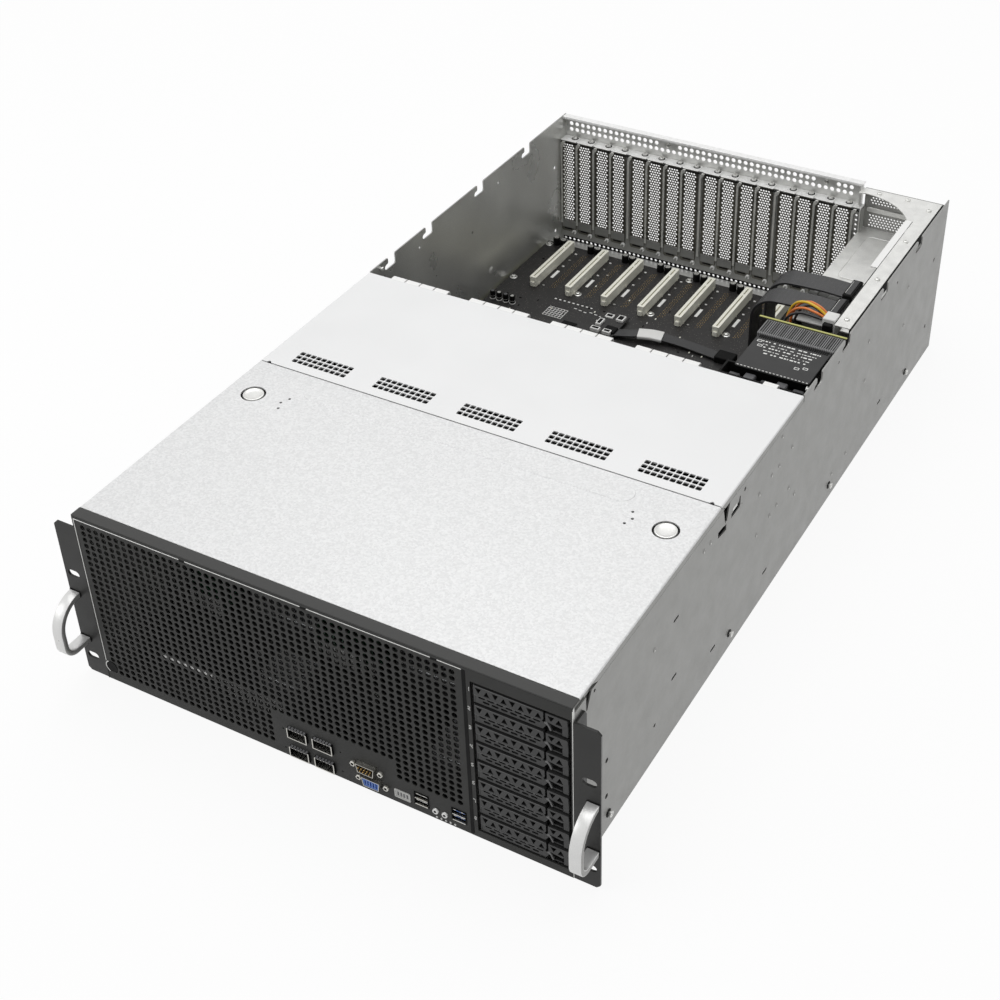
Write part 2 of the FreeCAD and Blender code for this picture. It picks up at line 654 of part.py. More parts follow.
cage_walls = [
    block("cage_left_wall", (CAGE_LEFT, CAGE_LEFT + METAL), (FRONT + METAL, CAGE_END),
          (METAL, CAGE_TOP + METAL)),
    block("cage_right_wall", (CAGE_WALL, CAGE_WALL + METAL), (FRONT + cell("tray_face") + 1, CAGE_END),
          (METAL, CAGE_TOP + METAL)),
    block("cage_roof", (CAGE_LEFT, CAGE_WALL + METAL), (FRONT + METAL, CAGE_END),
          (CAGE_TOP, CAGE_TOP + METAL))]
for index in range(TRAYS):
    z = tray_z(index)
    for name, span in (("left", (CAGE_LEFT, RAIL_LEFT + 2)), ("right", (RAIL_RIGHT - 2, CAGE_WALL))):
        cage_walls.append(block("runner_%s_%d" % (name, index), span,
                                (FRONT + cell("tray_face") + 3, BACKPLANE - 4), (z, z + cell("runner"))))
node("drive_cage", joined("drive_cage", cage_walls))


def drive_tray(index):
    z = tray_z(index)
    name = "tray_%d_" % (index + 1)
    face = cell("tray_face")
    floor_z = z + cell("runner")
    lever_end = FRONT + cell("lever_depth") + SLIDE_GAP
    split = LEVER_SPLIT
    pieces = [
        block(name + "back", (TRAY_LEFT, TRAY_RIGHT), (lever_end, FRONT + face), (z, z + cell("tray_rise"))),
        block(name + "catch", (split + SLIDE_GAP, TRAY_RIGHT), (FRONT, FRONT + face), (z, z + cell("tray_rise"))),
        block(name + "left", (RAIL_LEFT, RAIL_LEFT + RAIL), (FRONT + face, BACKPLANE - 6),
              (floor_z, floor_z + 11)),
        block(name + "right", (RAIL_RIGHT - RAIL, RAIL_RIGHT), (FRONT + face, BACKPLANE - 6),
              (floor_z, floor_z + 11)),
        block(name + "left_arm", (RAIL_LEFT, TRAY_LEFT + RAIL), (FRONT + face - 3, FRONT + face),
              (floor_z, floor_z + 11)),
        block(name + "bridge", (RAIL_LEFT, RAIL_RIGHT), (FRONT + face + 20, FRONT + face + 34),
              (floor_z, floor_z + 0.8))]
    air = [block(name + "air_%d" % k, (TRAY_LEFT + 6 + k * 26, TRAY_LEFT + 27 + k * 26),
                 (FRONT, FRONT + face + 1), (z + 8, z + 15)) for k in range(2)]
    finger = block(name + "finger", (split + 5, TRAY_RIGHT - 2), (FRONT - 1, FRONT + 3.5), (z + 2.5, z + 9.5))
    frame = cut(name + "frame", joined(name + "body", pieces), air + [finger])
    drive_left = RAIL_LEFT + RAIL + SLIDE_GAP
    drive = block(name + "drive", (drive_left, drive_left + cell("drive_width")),
                  (FRONT + face, FRONT + face + cell("drive_length")),
                  (floor_z + 0.8, floor_z + 0.8 + cell("drive_rise")))
    return gathered("drive_tray_%d" % (index + 1), [frame, drive])


def tray_lever(index):
    z = tray_z(index)
    body = doc.addObject("PartDesign::Body", "Lever%d" % (index + 1))
    bind(body, ".Placement.Base.z", z)
    plate = sketch_on(body, "XZ_Plane", "LeverPlate%d" % (index + 1), -FRONT)
    left = TRAY_LEFT
    right = LEVER_SPLIT
    rise = cell("tray_rise")
    rectangle(plate, (left, right), (SLIDE_GAP, rise - SLIDE_GAP))
    for k in range(4):
        x = left + 6 + k * 13
        contour(plate, [(x, rise - 8.5), (x + 8, rise - 8.5), (x + 4, rise - 2)])
    rectangle(plate, (left + 6, right - 8), (3, 6))
    sheet_pad = pad(body, plate, cell("lever_depth"), "LeverBar%d" % (index + 1))
    sheet_pad.Reversed = True
    body.Tip = sheet_pad
    return body


for index in range(TRAYS):
    node("drive_tray_%d" % (index + 1), drive_tray(index))
    node("tray_lever_%d" % (index + 1), tray_lever(index))

backplane = block("backplane_board", (CAGE_LEFT + METAL, CAGE_WALL), (BACKPLANE, CAGE_END),
                  (METAL, CAGE_TOP))
backplane_pieces = [backplane]
for index in range(TRAYS):
    z = tray_z(index)
    drive_end = FRONT + cell("tray_face") + cell("drive_length")
    backplane_pieces.append(block("drive_socket_%d" % index, (TRAY_LEFT + 19, TRAY_LEFT + 55),
                                  (drive_end + 0.5, BACKPLANE),
                                  (z + 4, z + 10)))
node("drive_backplane", joined("drive_backplane", backplane_pieces))

# Fan wall with five framed fans and their rotors
FAN_WALL = FRONT + cell("fan_wall_from_front")
FAN_Z = HEIGHT - cell("fan_drop")
FAN_HALF = cell("fan_size") / 2
FAN_END = FAN_WALL + METAL + cell("fan_depth")
BORE_SIDES = 18
HUB_SIDES = 12


def fan_x(index):
    return (index - (FANS - 1) / 2) * cell("fan_spacing")


wall_plate = block("wall_plate", (-INNER + JOGGLE, INNER - JOGGLE), (FAN_WALL, FAN_WALL + METAL),
                   (METAL, COVER_UNDER))
fan_holes = [prism("fan_hole_%d" % i, "y", (fan_x(i), FAN_Z), cell("fan_bore"), FAN_WALL - 1,
                   FAN_WALL + METAL + 1, BORE_SIDES) for i in range(FANS)]
cable_ports = [block("cable_port_%d" % i, (fan_x(i) - 22, fan_x(i) + 22), (FAN_WALL - 1, FAN_WALL + METAL + 1),
                     (METAL + 14, METAL + 44)) for i in range(FANS)]
fan_shelf = block("fan_shelf", (-INNER, INNER), (FAN_WALL, FAN_END),
                  (FAN_Z - FAN_HALF - METAL, FAN_Z - FAN_HALF))
node("fan_wall", joined("fan_wall", [cut("wall_sheet", wall_plate, fan_holes + cable_ports), fan_shelf]))


def fan_housing(index):
    x = fan_x(index)
    name = "fan_%d_" % (index + 1)
    frame = block(name + "frame", (x - FAN_HALF, x + FAN_HALF), (FAN_WALL + METAL, FAN_END),
                  (FAN_Z - FAN_HALF, FAN_Z + FAN_HALF))
    bore = prism(name + "bore", "y", (x, FAN_Z), cell("fan_bore"), FAN_WALL, FAN_END + 1, BORE_SIDES)
    ring = cut(name + "ring", frame, [bore])
    hub = prism(name + "motor", "y", (x, FAN_Z), cell("hub_radius"), FAN_END - 5, FAN_END, HUB_SIDES)
    strut_x = block(name + "strut_x", (x - FAN_HALF + 1, x + FAN_HALF - 1), (FAN_END - 4, FAN_END),
                    (FAN_Z - 2, FAN_Z + 2))
    strut_z = block(name + "strut_z", (x - 2, x + 2), (FAN_END - 4, FAN_END),
                    (FAN_Z - FAN_HALF + 1, FAN_Z + FAN_HALF - 1))
    return joined(name + "housing", [ring, hub, strut_x, strut_z])


def fan_rotor(index):
    body = doc.addObject("PartDesign::Body", "Rotor%d" % (index + 1))
    bind(body, ".Placement.Base.x", fan_x(index))
    bind(body, ".Placement.Base.y", FAN_END - 5.5 - cell("hub_length") / 2)
    bind(body, ".Placement.Base.z", FAN_Z)
    hub = sketch_on(body, "XZ_Plane", "Hub%d" % index)
    radius = float(cell("hub_radius"))
    corners = []
    for k in range(HUB_SIDES):
        angle = math.tau * k / HUB_SIDES
        corners.append(FreeCAD.Vector(radius * math.cos(angle), radius * math.sin(angle), 0))
    for k in range(HUB_SIDES):
        hub.addGeometry(Part.LineSegment(corners[k], corners[(k + 1) % HUB_SIDES]), False)
    pad(body, hub, cell("hub_length"), "HubDrum%d" % index, True)
    blade = sketch_on(body, "XY_Plane", "Blade%d" % index, 11)
    contour(blade, [(-9, -12), (-6.5, -12), (9, 12), (6.5, 12)])
    vane = pad(body, blade, cell("blade_reach") - 11, "Vane%d" % index)
    turn = body.newObject("PartDesign::PolarPattern", "Vanes%d" % index)
    turn.Originals = [vane]
    turn.Axis = (origin_feature(body, "Y_Axis"), [""])
    turn.Angle = 360
    turn.Occurrences = 7
    body.Tip = turn
    return body


node("fan_housings", gathered("fan_housings", [fan_housing(i) for i in range(FANS)]))
for index in range(FANS):
    node("fan_rotor_%d" % (index + 1), fan_rotor(index))

# Main board with its processors' coolers and memory
MAIN = cell("main_board_height")
BOARD_LEFT = 6.8 - INNER
main_board = block("main_board", (BOARD_LEFT, GRILLE_RIGHT - 1.4), (FRONT + 12, FAN_WALL - 6),
                   (MAIN - BOARD, MAIN))
port_notch = block("port_notch", (PORT_LEFT - 1, PORT_LEFT + cell("cage_pitch_x") + cell("port_cage_width") + 1),
                   (FRONT, FRONT + cell("port_cage_length") + 1), (0, HEIGHT))
STANDOFF = 6
STANDOFF_STEP = (GRILLE_RIGHT - 18.4 - BOARD_LEFT - 12) / 3
standoffs = []
for column in range(4):
    x = BOARD_LEFT + 12 + column * STANDOFF_STEP
    for row in range(3):
        y = FRONT + 60 + 100 * row
        standoffs.append(block("standoff_%d_%d" % (column, row), (x, x + STANDOFF), (y, y + STANDOFF),
                               (METAL, MAIN - BOARD)))
node("motherboard", joined("motherboard", [cut("board_outline", main_board, [port_notch])] + standoffs))
COOLER_X = [BOARD_LEFT + 94, BOARD_LEFT + 242]
COOLER_SPAN = (FRONT + 115, FRONT + 205)
COOLER_HALF = 39
COOLER_BASE = 9
COOLER_RISE = 64
FIN = 1.2
FIN_PITCH = 6


def cooler(centre, number):
    left = centre - COOLER_HALF
    right = centre + COOLER_HALF
    pieces = [block("cooler_base_%d" % number, (left, right), COOLER_SPAN, (MAIN, MAIN + COOLER_BASE))]
    fins = [left + FIN_PITCH * k for k in range(2 * COOLER_HALF // FIN_PITCH)] + [right - FIN]
    for k, x in enumerate(fins):
        pieces.append(block("fin_%d_%d" % (number, k), (x, x + FIN), COOLER_SPAN,
                            (MAIN + COOLER_BASE, MAIN + COOLER_RISE)))
    return joined("cooler_%d" % number, pieces)


node("processor_coolers", gathered("processor_coolers", [cooler(x, k) for k, x in enumerate(COOLER_X)]))
MODULE_PITCH = 9
MODULE_WIDTH = 4
MODULE_RISE = 36
MODULE_BANKS = [(8, 4), (138, 7), (286, 4)]
modules = []
for bank, (inset, count) in enumerate(MODULE_BANKS):
    for k in range(count):
        x = BOARD_LEFT + inset + MODULE_PITCH * k
        modules.append(block("memory_%d_%d" % (bank, k), (x, x + MODULE_WIDTH), (FRONT + 92, FRONT + 228),
                             (MAIN, MAIN + MODULE_RISE)))
node("memory_modules", gathered("memory_modules", modules))

# Raised deck of the card bay, with the expansion board on standoffs
DECK_FRONT = FRONT + cell("deck_front")
DECK_SPAN = (-INNER, BAY_WALL - METAL)
deck_top = block("deck_top", DECK_SPAN, (DECK_FRONT, SLOT_WALL - METAL), (DECK - METAL, DECK))
deck_legs = [block("deck_leg_front", DECK_SPAN, (DECK_FRONT, DECK_FRONT + METAL), (METAL, DECK)),
             block("deck_leg_rear", DECK_SPAN, (SLOT_WALL - 30, SLOT_WALL - 30 + METAL), (METAL, DECK))]
CARD_UNDER = CARD_BOARD - BOARD
SLOT_START = FRONT + cell("slot_front")
SLOT_END = SLOT_START + cell("slot_length")
SCREW_ROWS = {
    "slot": (SLOT_START + 7.5, [slot_x(0) - 28.5, slot_x(1) + 8.1, slot_x(3) + 8.7, slot_x(5) + 9.2]),
    "rear": (SLOT_END, [slot_x(0) - 28.5, slot_x(3) + 16]),
    "front": (FRONT + cell("card_board_front") + 32, [slot_x(0) - 21.5, slot_x(3) + 22.3, BAY_WALL - 32]),
}
BOARD_SCREWS = [(x, y) for y, places in SCREW_ROWS.values() for x in places]
POST_HALF = 3
deck_posts = [block("deck_post_%d" % k, (x - POST_HALF, x + POST_HALF), (y - POST_HALF, y + POST_HALF),
                    (DECK, CARD_UNDER)) for k, (x, y) in enumerate(BOARD_SCREWS)]
node("middle_deck", joined("middle_deck", [deck_top] + deck_legs + deck_posts))
node("expansion_board", block("expansion_board", (-INNER + 2, BAY_WALL - METAL - 0.3),
                              (FRONT + cell("card_board_front"), FRONT + cell("card_board_rear")),
                              (CARD_UNDER, CARD_BOARD)))


def card_slot(index):
    x = slot_x(index)
    name = "card_slot_%d" % (index + 1)
    start = SLOT_START
    end = SLOT_END
    half = cell("slot_width") / 2
    housing = block(name + "_housing", (x - half, x + half), (start, end),
                    (CARD_BOARD, CARD_BOARD + cell("slot_rise")))
    long_groove = block(name + "_long", (x - 1, x + 1), (start + 3, end - 18),
                        (CARD_BOARD + 3, CARD_BOARD + cell("slot_rise") + 1))
    short_groove = block(name + "_short", (x - 1, x + 1), (end - 15.5, end - 3),
                         (CARD_BOARD + 3, CARD_BOARD + cell("slot_rise") + 1))
    return cut(name, housing, [long_groove, short_groove])


node("expansion_slots", gathered("expansion_slots", [card_slot(i) for i in range(CARD_SLOTS)]))

# Power supply bay: side wall, shelves, and a raised roof along the right wall
RIGHT = INNER
bay_side = block("bay_side", (BAY_WALL - METAL, BAY_WALL), (DECK_FRONT, SLOT_WALL - METAL),
                 (METAL, SHELF_TOP + METAL))
FOOT_START = FRONT + 600
FOOT_END = FRONT + 650
bay_side_low = block("bay_side_low", (BAY_WALL - METAL - 1, BAY_WALL + 1), (DECK_FRONT - 1, FOOT_START),
                     (CARD_BOARD + 4, HEIGHT))
PSU_STEP = cell("psu_rise") + METAL + 2 * cell("psu_gap")
PSU_FRONT = REAR - cell("psu_length")
shelves = [block("bay_shelf_%d" % k, (BAY_WALL, RIGHT), (PSU_FRONT, REAR - METAL),
                 (METAL + k * PSU_STEP - METAL, METAL + k * PSU_STEP)) for k in (1, 2)]
bay_top = block("bay_top", (BAY_WALL, RIGHT), (FOOT_START - 2, REAR - METAL), (SHELF_TOP, SHELF_TOP + METAL))
ROOF_LEFT = HALF - cell("bay_roof_width")
roof = doc.addObject("PartDesign::Body", "BayRoof")
roof_outline = sketch_on(roof, "XY_Plane", "RoofOutline", ROOF - METAL)
roof_front = FRONT + cell("bay_roof_front")
contour(roof_outline, [
    (BAY_WALL - 4, REAR - METAL), (BAY_WALL - 4, REAR - 15), (BAY_WALL + 6, REAR - 15), (ROOF_LEFT, REAR - 44),
    (ROOF_LEFT, roof_front), (RIGHT, roof_front), (RIGHT, REAR - METAL)],
    {2: ((BAY_WALL - 13, REAR - 118), -1)})
roof.Tip = pad(roof, roof_outline, METAL, "RoofSheet")
roof_side = block("roof_side", (ROOF_LEFT, ROOF_LEFT + METAL), (roof_front, FOOT_END), (ROOF - 16, ROOF))
roof_lip = block("roof_lip", (ROOF_LEFT, ROOF_LEFT + METAL), (FOOT_END, REAR - 46), (ROOF - 9, ROOF))
roof_foot = block("roof_foot", (ROOF_LEFT, ROOF_LEFT + METAL), (FOOT_START, FOOT_END), (SHELF_TOP, ROOF))
node("psu_cage", joined("psu_cage", [cut("bay_side_wall", bay_side, [bay_side_low]), bay_top, roof, roof_side,
                                     roof_lip, roof_foot] + shelves))


def power_supply(index):
    z = METAL + cell("psu_gap") + index * PSU_STEP
    top = z + cell("psu_rise")
    left = BAY_WALL + 6
    right = left + cell("psu_width")
    name = "psu_%d_" % (index + 1)
    body = block(name + "case", (left, right), (PSU_FRONT, REAR), (z, top))
    inlet = block(name + "inlet", (right - 30, right - 4), (REAR - 14, REAR + 1), (z + 9, top - 9))
    pins = block(name + "pins", (right - 20, right - 14), (REAR - 15, REAR - 3), (z + 16, top - 16))
    fan_recess = prism(name + "fan_recess", "y", (left + 20, z + cell("psu_rise") / 2), 16.5,
                       REAR - 3, REAR + 1, 16)
    grip_foot = block(name + "grip_left", (left + 2, left + 5), (REAR - 1, REAR + 24), (z + 14, top - 14))
    grip_far = block(name + "grip_right", (left + 36, left + 39), (REAR - 1, REAR + 24), (z + 14, top - 14))
    grip = block(name + "grip", (left + 2, left + 39), (REAR + 21, REAR + 24), (z + 14, top - 14))
    plug = block(name + "plug", (left + 16, right - 16), (PSU_FRONT - 12, PSU_FRONT), (z + 3, z + 11))
    hollow = cut(name + "hollow", body, [inlet, fan_recess])
    return joined("psu_%d" % (index + 1), [hollow, pins, grip_foot, grip_far, grip, plug])


for index in range(SUPPLIES):
    node("psu_%d" % (index + 1), power_supply(index))

# Power board across the bay, its card on top, and the cables that cross to the expansion board
riser_y = FRONT + 520
riser = block("riser_plate", (BAY_WALL - METAL, RIGHT - 1), (riser_y, riser_y + BOARD), (METAL, ROOF))
riser_gap = block("riser_gap", (BAY_WALL - METAL - 1, BAY_WALL), (riser_y - 1, riser_y + BOARD + 1),
                  (0, DECK + 20))
riser_socket = block("riser_socket", (BAY_WALL + 7, RIGHT - 3), (riser_y - 26, riser_y), (ROOF - 6, ROOF + 1))
node("riser_board", joined("riser_board", [cut("riser_sheet", riser, [riser_gap]), riser_socket]))
card_z = ROOF - 4
card_front = FRONT + 441
adapter = block("adapter_sheet", (BAY_WALL + 9, RIGHT - 4.5), (card_front, riser_y - 26),
                (card_z, card_z + BOARD))
adapter_tray = block("adapter_tray", (BAY_WALL, RIGHT), (DECK_FRONT + 2, card_front + 6), (card_z - 16, card_z))
adapter_trough = block("adapter_trough", (BAY_WALL + 2, RIGHT - 2), (DECK_FRONT + 4, card_front - 1),
                       (card_z - 14, card_z + 1))
node("adapter_card", gathered("adapter_card", [adapter, cut("card_tray", adapter_tray, [adapter_trough])]))


def ribbon(index, start, end):
    """A flat cable that leaves the bay, turns over its wall and drops to the expansion board."""
    body = doc.addObject("PartDesign::Body", "Ribbon%d" % index)
    section = sketch_on(body, "XZ_Plane", "RibbonBend%d" % index, -start)
    thick = 3.5
    bend = 25
    x_far = BAY_WALL + 36
    z_flat = SHELF_TOP + 11.5
    x_drop = BAY_WALL - 44
    contour(section, [
        (x_far, z_flat), (x_drop + bend, z_flat), (x_drop, z_flat - bend), (x_drop, CARD_BOARD + 10),
        (x_drop + thick, CARD_BOARD + 10), (x_drop + thick, z_flat - bend), (x_drop + bend, z_flat - thick),
        (x_far, z_flat - thick)],
        {1: ((x_drop + bend, z_flat - bend), 1), 5: ((x_drop + bend, z_flat - bend), -1)})
    strap = pad(body, section, end - start, "RibbonStrap%d" % index)
    strap.Reversed = True
    body.Tip = strap
    upper_plug = block("ribbon_plug_%d" % index, (x_far, x_far + 10), (start - 2, end + 2),
                       (SHELF_TOP + METAL, z_flat + 3))
    lower_plug = block("ribbon_socket_%d" % index, (x_drop - 3, x_drop + 8), (start - 2, end + 2),
                       (CARD_BOARD, CARD_BOARD + 10))
    return [body, upper_plug, lower_plug]


FLAT_START = FRONT + 606
FLAT_WIDTH = 16
FLAT_LEFT = slot_x(3) - 6.7
FLAT_RIGHT = BAY_WALL - 80
FLAT_PLUG = (FLAT_START - 1, FLAT_START + FLAT_WIDTH + 1)
flat_cable = joined("flat_cable", [
    block("flat_strap", (FLAT_LEFT, FLAT_RIGHT), (FLAT_START, FLAT_START + FLAT_WIDTH),
          (CARD_BOARD, CARD_BOARD + 3)),
    block("flat_plug_left", (FLAT_LEFT - 10, FLAT_LEFT + 2), FLAT_PLUG, (CARD_BOARD, CARD_BOARD + 6)),
    block("flat_plug_right", (FLAT_RIGHT - 2, FLAT_RIGHT + 18), FLAT_PLUG, (CARD_BOARD, CARD_BOARD + 7))])
crossing_cables = ribbon(1, FRONT + 642, FRONT + 670) + ribbon(2, FRONT + 604, FRONT + 632)
node("ribbon_cables", gathered("ribbon_cables", crossing_cables + [flat_cable]))
wire_plug = block("wire_plug", (ROOF_LEFT - 14, ROOF_LEFT - 0.2), (FRONT + 548, FRONT + 560), (ROOF - 14, ROOF - 2))
wires = [wire_plug]
for index in range(3):
    wire = doc.addObject("PartDesign::Body", "Wire%d" % index)
    middle = FRONT + 550.5 + 3.5 * index
    run = sketch_on(wire, "XZ_Plane", "WireRun%d" % index, -middle + 1)
    bend = 18
    z_high = ROOF - 5
    x_end = ROOF_LEFT - 14
    x_low = BAY_WALL + 8
    contour(run, [
        (x_end, z_high), (x_low + bend, z_high), (x_low, z_high - bend),
        (x_low, DECK + 40), (x_low + 2, DECK + 40),
        (x_low + 2, z_high - bend), (x_low + bend, z_high - 2), (x_end, z_high - 2)],
        {1: ((x_low + bend, z_high - bend), 1), 5: ((x_low + bend, z_high - bend), -1)})
    strand = pad(wire, run, 2, "WireStrand%d" % index)
    strand.Reversed = True
    wire.Tip = strand
    wires.append(wire)
wires.append(block("wire_socket", (BAY_WALL, BAY_WALL + 16), (FRONT + 546, FRONT + 562), (DECK + 28, DECK + 40)))
node("power_wires", gathered("power_wires", wires))

# Front ports
PORT_FACE = FRONT - cell("port_reach")


def network_cage(column, row):
    x, z = port_cage_corner(column, row)
    right = x + cell("port_cage_width")
    top = z + cell("port_cage_rise")
    name = "network_cage_%d_%d" % (column, row)
    shell = block(name + "_shell", (x, right), (PORT_FACE, FRONT + cell("port_cage_length")), (z, top))
    mouth = block(name + "_mouth", (x + 0.6, right - 0.6),
                  (PORT_FACE - 1, FRONT + cell("port_cage_length") - 1),
                  (z + 0.6, top - 0.6))
    return cut(name, shell, [mouth])


port_floor = block("port_floor", (PORT_LEFT, PORT_LEFT + cell("cage_pitch_x") + cell("port_cage_width")),
                   (FRONT + 4, FRONT + cell("port_cage_length")), (METAL, PORT_FOOT))
port_spacer = block("port_spacer", (PORT_LEFT, PORT_LEFT + cell("cage_pitch_x") + cell("port_cage_width")),
                    (FRONT + 4, FRONT + cell("port_cage_length")),
                    (PORT_FOOT + cell("port_cage_rise"), PORT_FOOT + cell("cage_pitch_z")))
node("network_ports", joined("network_ports", [network_cage(c, r) for c in range(2) for r in range(2)]
                             + [port_floor, port_spacer]))


def dsub(name, x, z, foot, reach):
    """A D-shaped plug shell with a jack screw on each side, on a block behind the panel."""
    body = doc.addObject("PartDesign::Body", name)
    shell = sketch_on(body, "XZ_Plane", name + "Shell", -(FRONT - reach))
    contour(shell, [(x - 8.3, z + 4), (x - 6.9, z - 4), (x + 6.9, z - 4), (x + 8.3, z + 4)])
    tube = pad(body, shell, reach + METAL, name + "Tube")
    tube.Reversed = True
    hollow = sketch_on(body, "XZ_Plane", name + "Hollow", -(FRONT - reach))
    contour(hollow, [(x - 7.6, z + 3.4), (x - 6.3, z - 3.4), (x + 6.3, z - 3.4), (x + 7.6, z + 3.4)])
    socket = body.newObject("PartDesign::Pocket", name + "Socket")
    socket.Profile = hollow
    bind(socket, "Length", reach)
    body.Tip = socket
    housing = block(name + "_housing", (x - 15.5, x + 15.5), (FRONT + METAL, FRONT + 16), (foot, z + 6.2))
    screws = [prism(name + "_screw_%d" % side, "y", (x + 12.5 * side, z), 2.4, FRONT - 4, FRONT, 6)
              for side in (-1, 1)]
    return gathered(name + "_parts", [joined(name + "_body", [body, housing])] + screws)


node("serial_port", dsub("Serial", *SERIAL, VGA[1] + 6.4, 6))
node("vga_port", dsub("Vga", *VGA, MAIN, 4))


def usb_stack(name, left):
    shell = block(name + "_shell", (left, left + USB_WIDTH), (FRONT - 0.6, FRONT + 17),
                  (MAIN, MAIN + USB_RISE))
    mouths = []
    tongues = []
    for k in range(2):
        foot = MAIN + 6.2 * k
        mouths.append(block("%s_mouth_%d" % (name, k), (left + 0.6, left + USB_WIDTH - 0.6),
                            (FRONT - 2, FRONT + 12), (foot + 0.8, foot + 6)))
        tongues.append(block("%s_tongue_%d" % (name, k), (left + 1.6, left + USB_WIDTH - 1.6),
                             (FRONT + 1, FRONT + 13), (foot + 3.6, foot + 5.4)))
    return joined(name, [cut(name + "_hollow", shell, mouths)] + tongues)


node("usb_ports", gathered("usb_ports", [usb_stack("usb_%d" % k, left) for k, left in enumerate(USB_LEFT)]))
display = block("display", (DISPLAY_LEFT, DISPLAY_LEFT + 14.4), (FRONT - 0.4, FRONT + 11.6), (6, 14.8))
LIGHT_PITCH = 4.05
LIGHT_WIDTH = 1.6
lights = []
for k in range(5):
    left = LIGHTS_LEFT + LIGHT_PITCH * k
    lights.append(block("light_%d" % k, (left, left + LIGHT_WIDTH), (FRONT - 0.2, FRONT + 6), (METAL, 2.9)))
node("status_display", gathered("status_display", [display] + lights))
for name, x in BUTTONS.items():
    cap = prism(name + "_cap", "y", (x, BUTTON_Z), cell("front_button_radius"), FRONT - 1.5, FRONT + 9, 16)
    node(name + "_button", cap)

# Fasteners: slot cover screws, expansion board screws, rail studs
fasteners = []
for index in range(BRACKETS):
    fasteners.append(prism("slot_screw_%d" % index, "z", (bracket_x(index) + 4, REAR - 6.5), 2.8,
                           LEDGE + cell("bracket_metal"), LEDGE + cell("bracket_metal") + 2.2, 6))
for index, (x, y) in enumerate(BOARD_SCREWS):
    fasteners.append(prism("board_screw_%d" % index, "z", (x, y), 3.2, CARD_BOARD, CARD_BOARD + 2, 6))
for side in (-1, 1):
    for index, y in enumerate((54, 274.5, 503, 717)):
        low, high = (HALF, HALF + 3) if side > 0 else (-HALF - 3, -HALF)
        fasteners.append(prism("rail_stud_%d_%d" % (side, index), "x", (FRONT + y, 16), 3.6, low, high, 8))
node("fasteners", gathered("fasteners", fasteners))

doc.recompute()
problems = [item.Label for item in doc.Objects if "Invalid" in item.State or "Error" in item.State]
for item in NODES:
    if item.Shape.isNull() or not item.Shape.isValid() or not item.Shape.Solids:
        problems.append(item.Label + " has no sound shape")
if problems:
    raise RuntimeError("failed: " + ", ".join(problems))
os.makedirs("parts", exist_ok=True)
for item in NODES:
    item.Shape.exportStep("parts/%s.step" % item.Label)
print("nodes", len(NODES))
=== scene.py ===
import math
import random

import bmesh
import bpy
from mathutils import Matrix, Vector
from mathutils.geometry import delaunay_2d_cdt


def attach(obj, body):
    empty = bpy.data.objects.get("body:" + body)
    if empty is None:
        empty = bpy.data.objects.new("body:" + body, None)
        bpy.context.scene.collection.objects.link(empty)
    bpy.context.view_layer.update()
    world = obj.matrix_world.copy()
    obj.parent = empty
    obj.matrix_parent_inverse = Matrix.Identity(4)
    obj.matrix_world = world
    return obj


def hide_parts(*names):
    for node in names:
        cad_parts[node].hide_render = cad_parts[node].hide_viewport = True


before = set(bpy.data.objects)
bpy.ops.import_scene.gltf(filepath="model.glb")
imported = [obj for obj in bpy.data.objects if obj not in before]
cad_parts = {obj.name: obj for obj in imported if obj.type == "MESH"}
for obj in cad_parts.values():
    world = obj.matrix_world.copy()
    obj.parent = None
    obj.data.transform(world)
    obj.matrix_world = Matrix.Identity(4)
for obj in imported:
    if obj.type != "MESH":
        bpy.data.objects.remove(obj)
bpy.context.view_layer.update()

# Sizes here are millimetres in the CAD frame: X to the right seen from the front, Y to the rear, Z up.
MM = 0.001
HALF = 220.0
INNER = 218.8
METAL = 1.2
FRONT = -400.0
REAR = 400.0
TOP = 174.5
COVER_UNDER = TOP - METAL
SEAM = 168.0
GAP = 0.3
BODY = "chassis"
SHARP_ANGLE = 38
chance = random.Random(11)


# Camera at the photograph's viewing angle
camera_data = bpy.data.cameras.new("camera")
camera = bpy.data.objects.new("camera", camera_data)
bpy.context.scene.collection.objects.link(camera)
camera.location = (0.59696, -1.08926, 0.97677)
camera.rotation_euler = (0.942112, 0.012137, 0.501491)
camera_data.sensor_width = 36
camera_data.lens = 59.785
camera_data.shift_x = -0.05699
camera_data.shift_y = -0.07192
camera_data.clip_end = 50
bpy.context.scene.camera = camera
bpy.context.scene.view_settings.view_transform = "Standard"


# Materials, made of nodes only
DOT_EDGE = 0.04
PATCH_DETAIL = 4.0
GRAIN_DETAIL = 2.0
PATCH_SHARE = 0.55
GRAIN_SHARE = 0.45
BUMP_DEPTH = 0.0003


def link(tree, source, target):
    tree.links.new(source, target)


def shader_node(tree, kind, values=(), sources=(), **settings):
    """A node with its settings, the values of its inputs and the sockets that feed them."""
    node = tree.nodes.new("ShaderNode" + kind)
    for name, value in settings.items():
        setattr(node, name, value)
    for name, value in dict(values).items():
        node.inputs[name].default_value = value
    for name, source in dict(sources).items():
        link(tree, source, node.inputs[name])
    return node


def noise(tree, place, size, detail, stretch):
    """A noise whose features are about size millimetres across."""
    if stretch:
        place = shader_node(tree, "Mapping", {"Scale": stretch}, {"Vector": place}).outputs["Vector"]
    values = {"Scale": 1 / (size * MM), "Detail": detail}
    return shader_node(tree, "TexNoise", values, {"Vector": place}).outputs["Fac"]


def sum_of(tree, first, second, first_share, second_share):
    """first * first_share + second * second_share"""
    scaled = shader_node(tree, "Math", {1: second_share}, {0: second}, operation="MULTIPLY").outputs[0]
    return shader_node(tree, "Math", {1: first_share}, {0: first, 2: scaled},
                       operation="MULTIPLY_ADD").outputs[0]


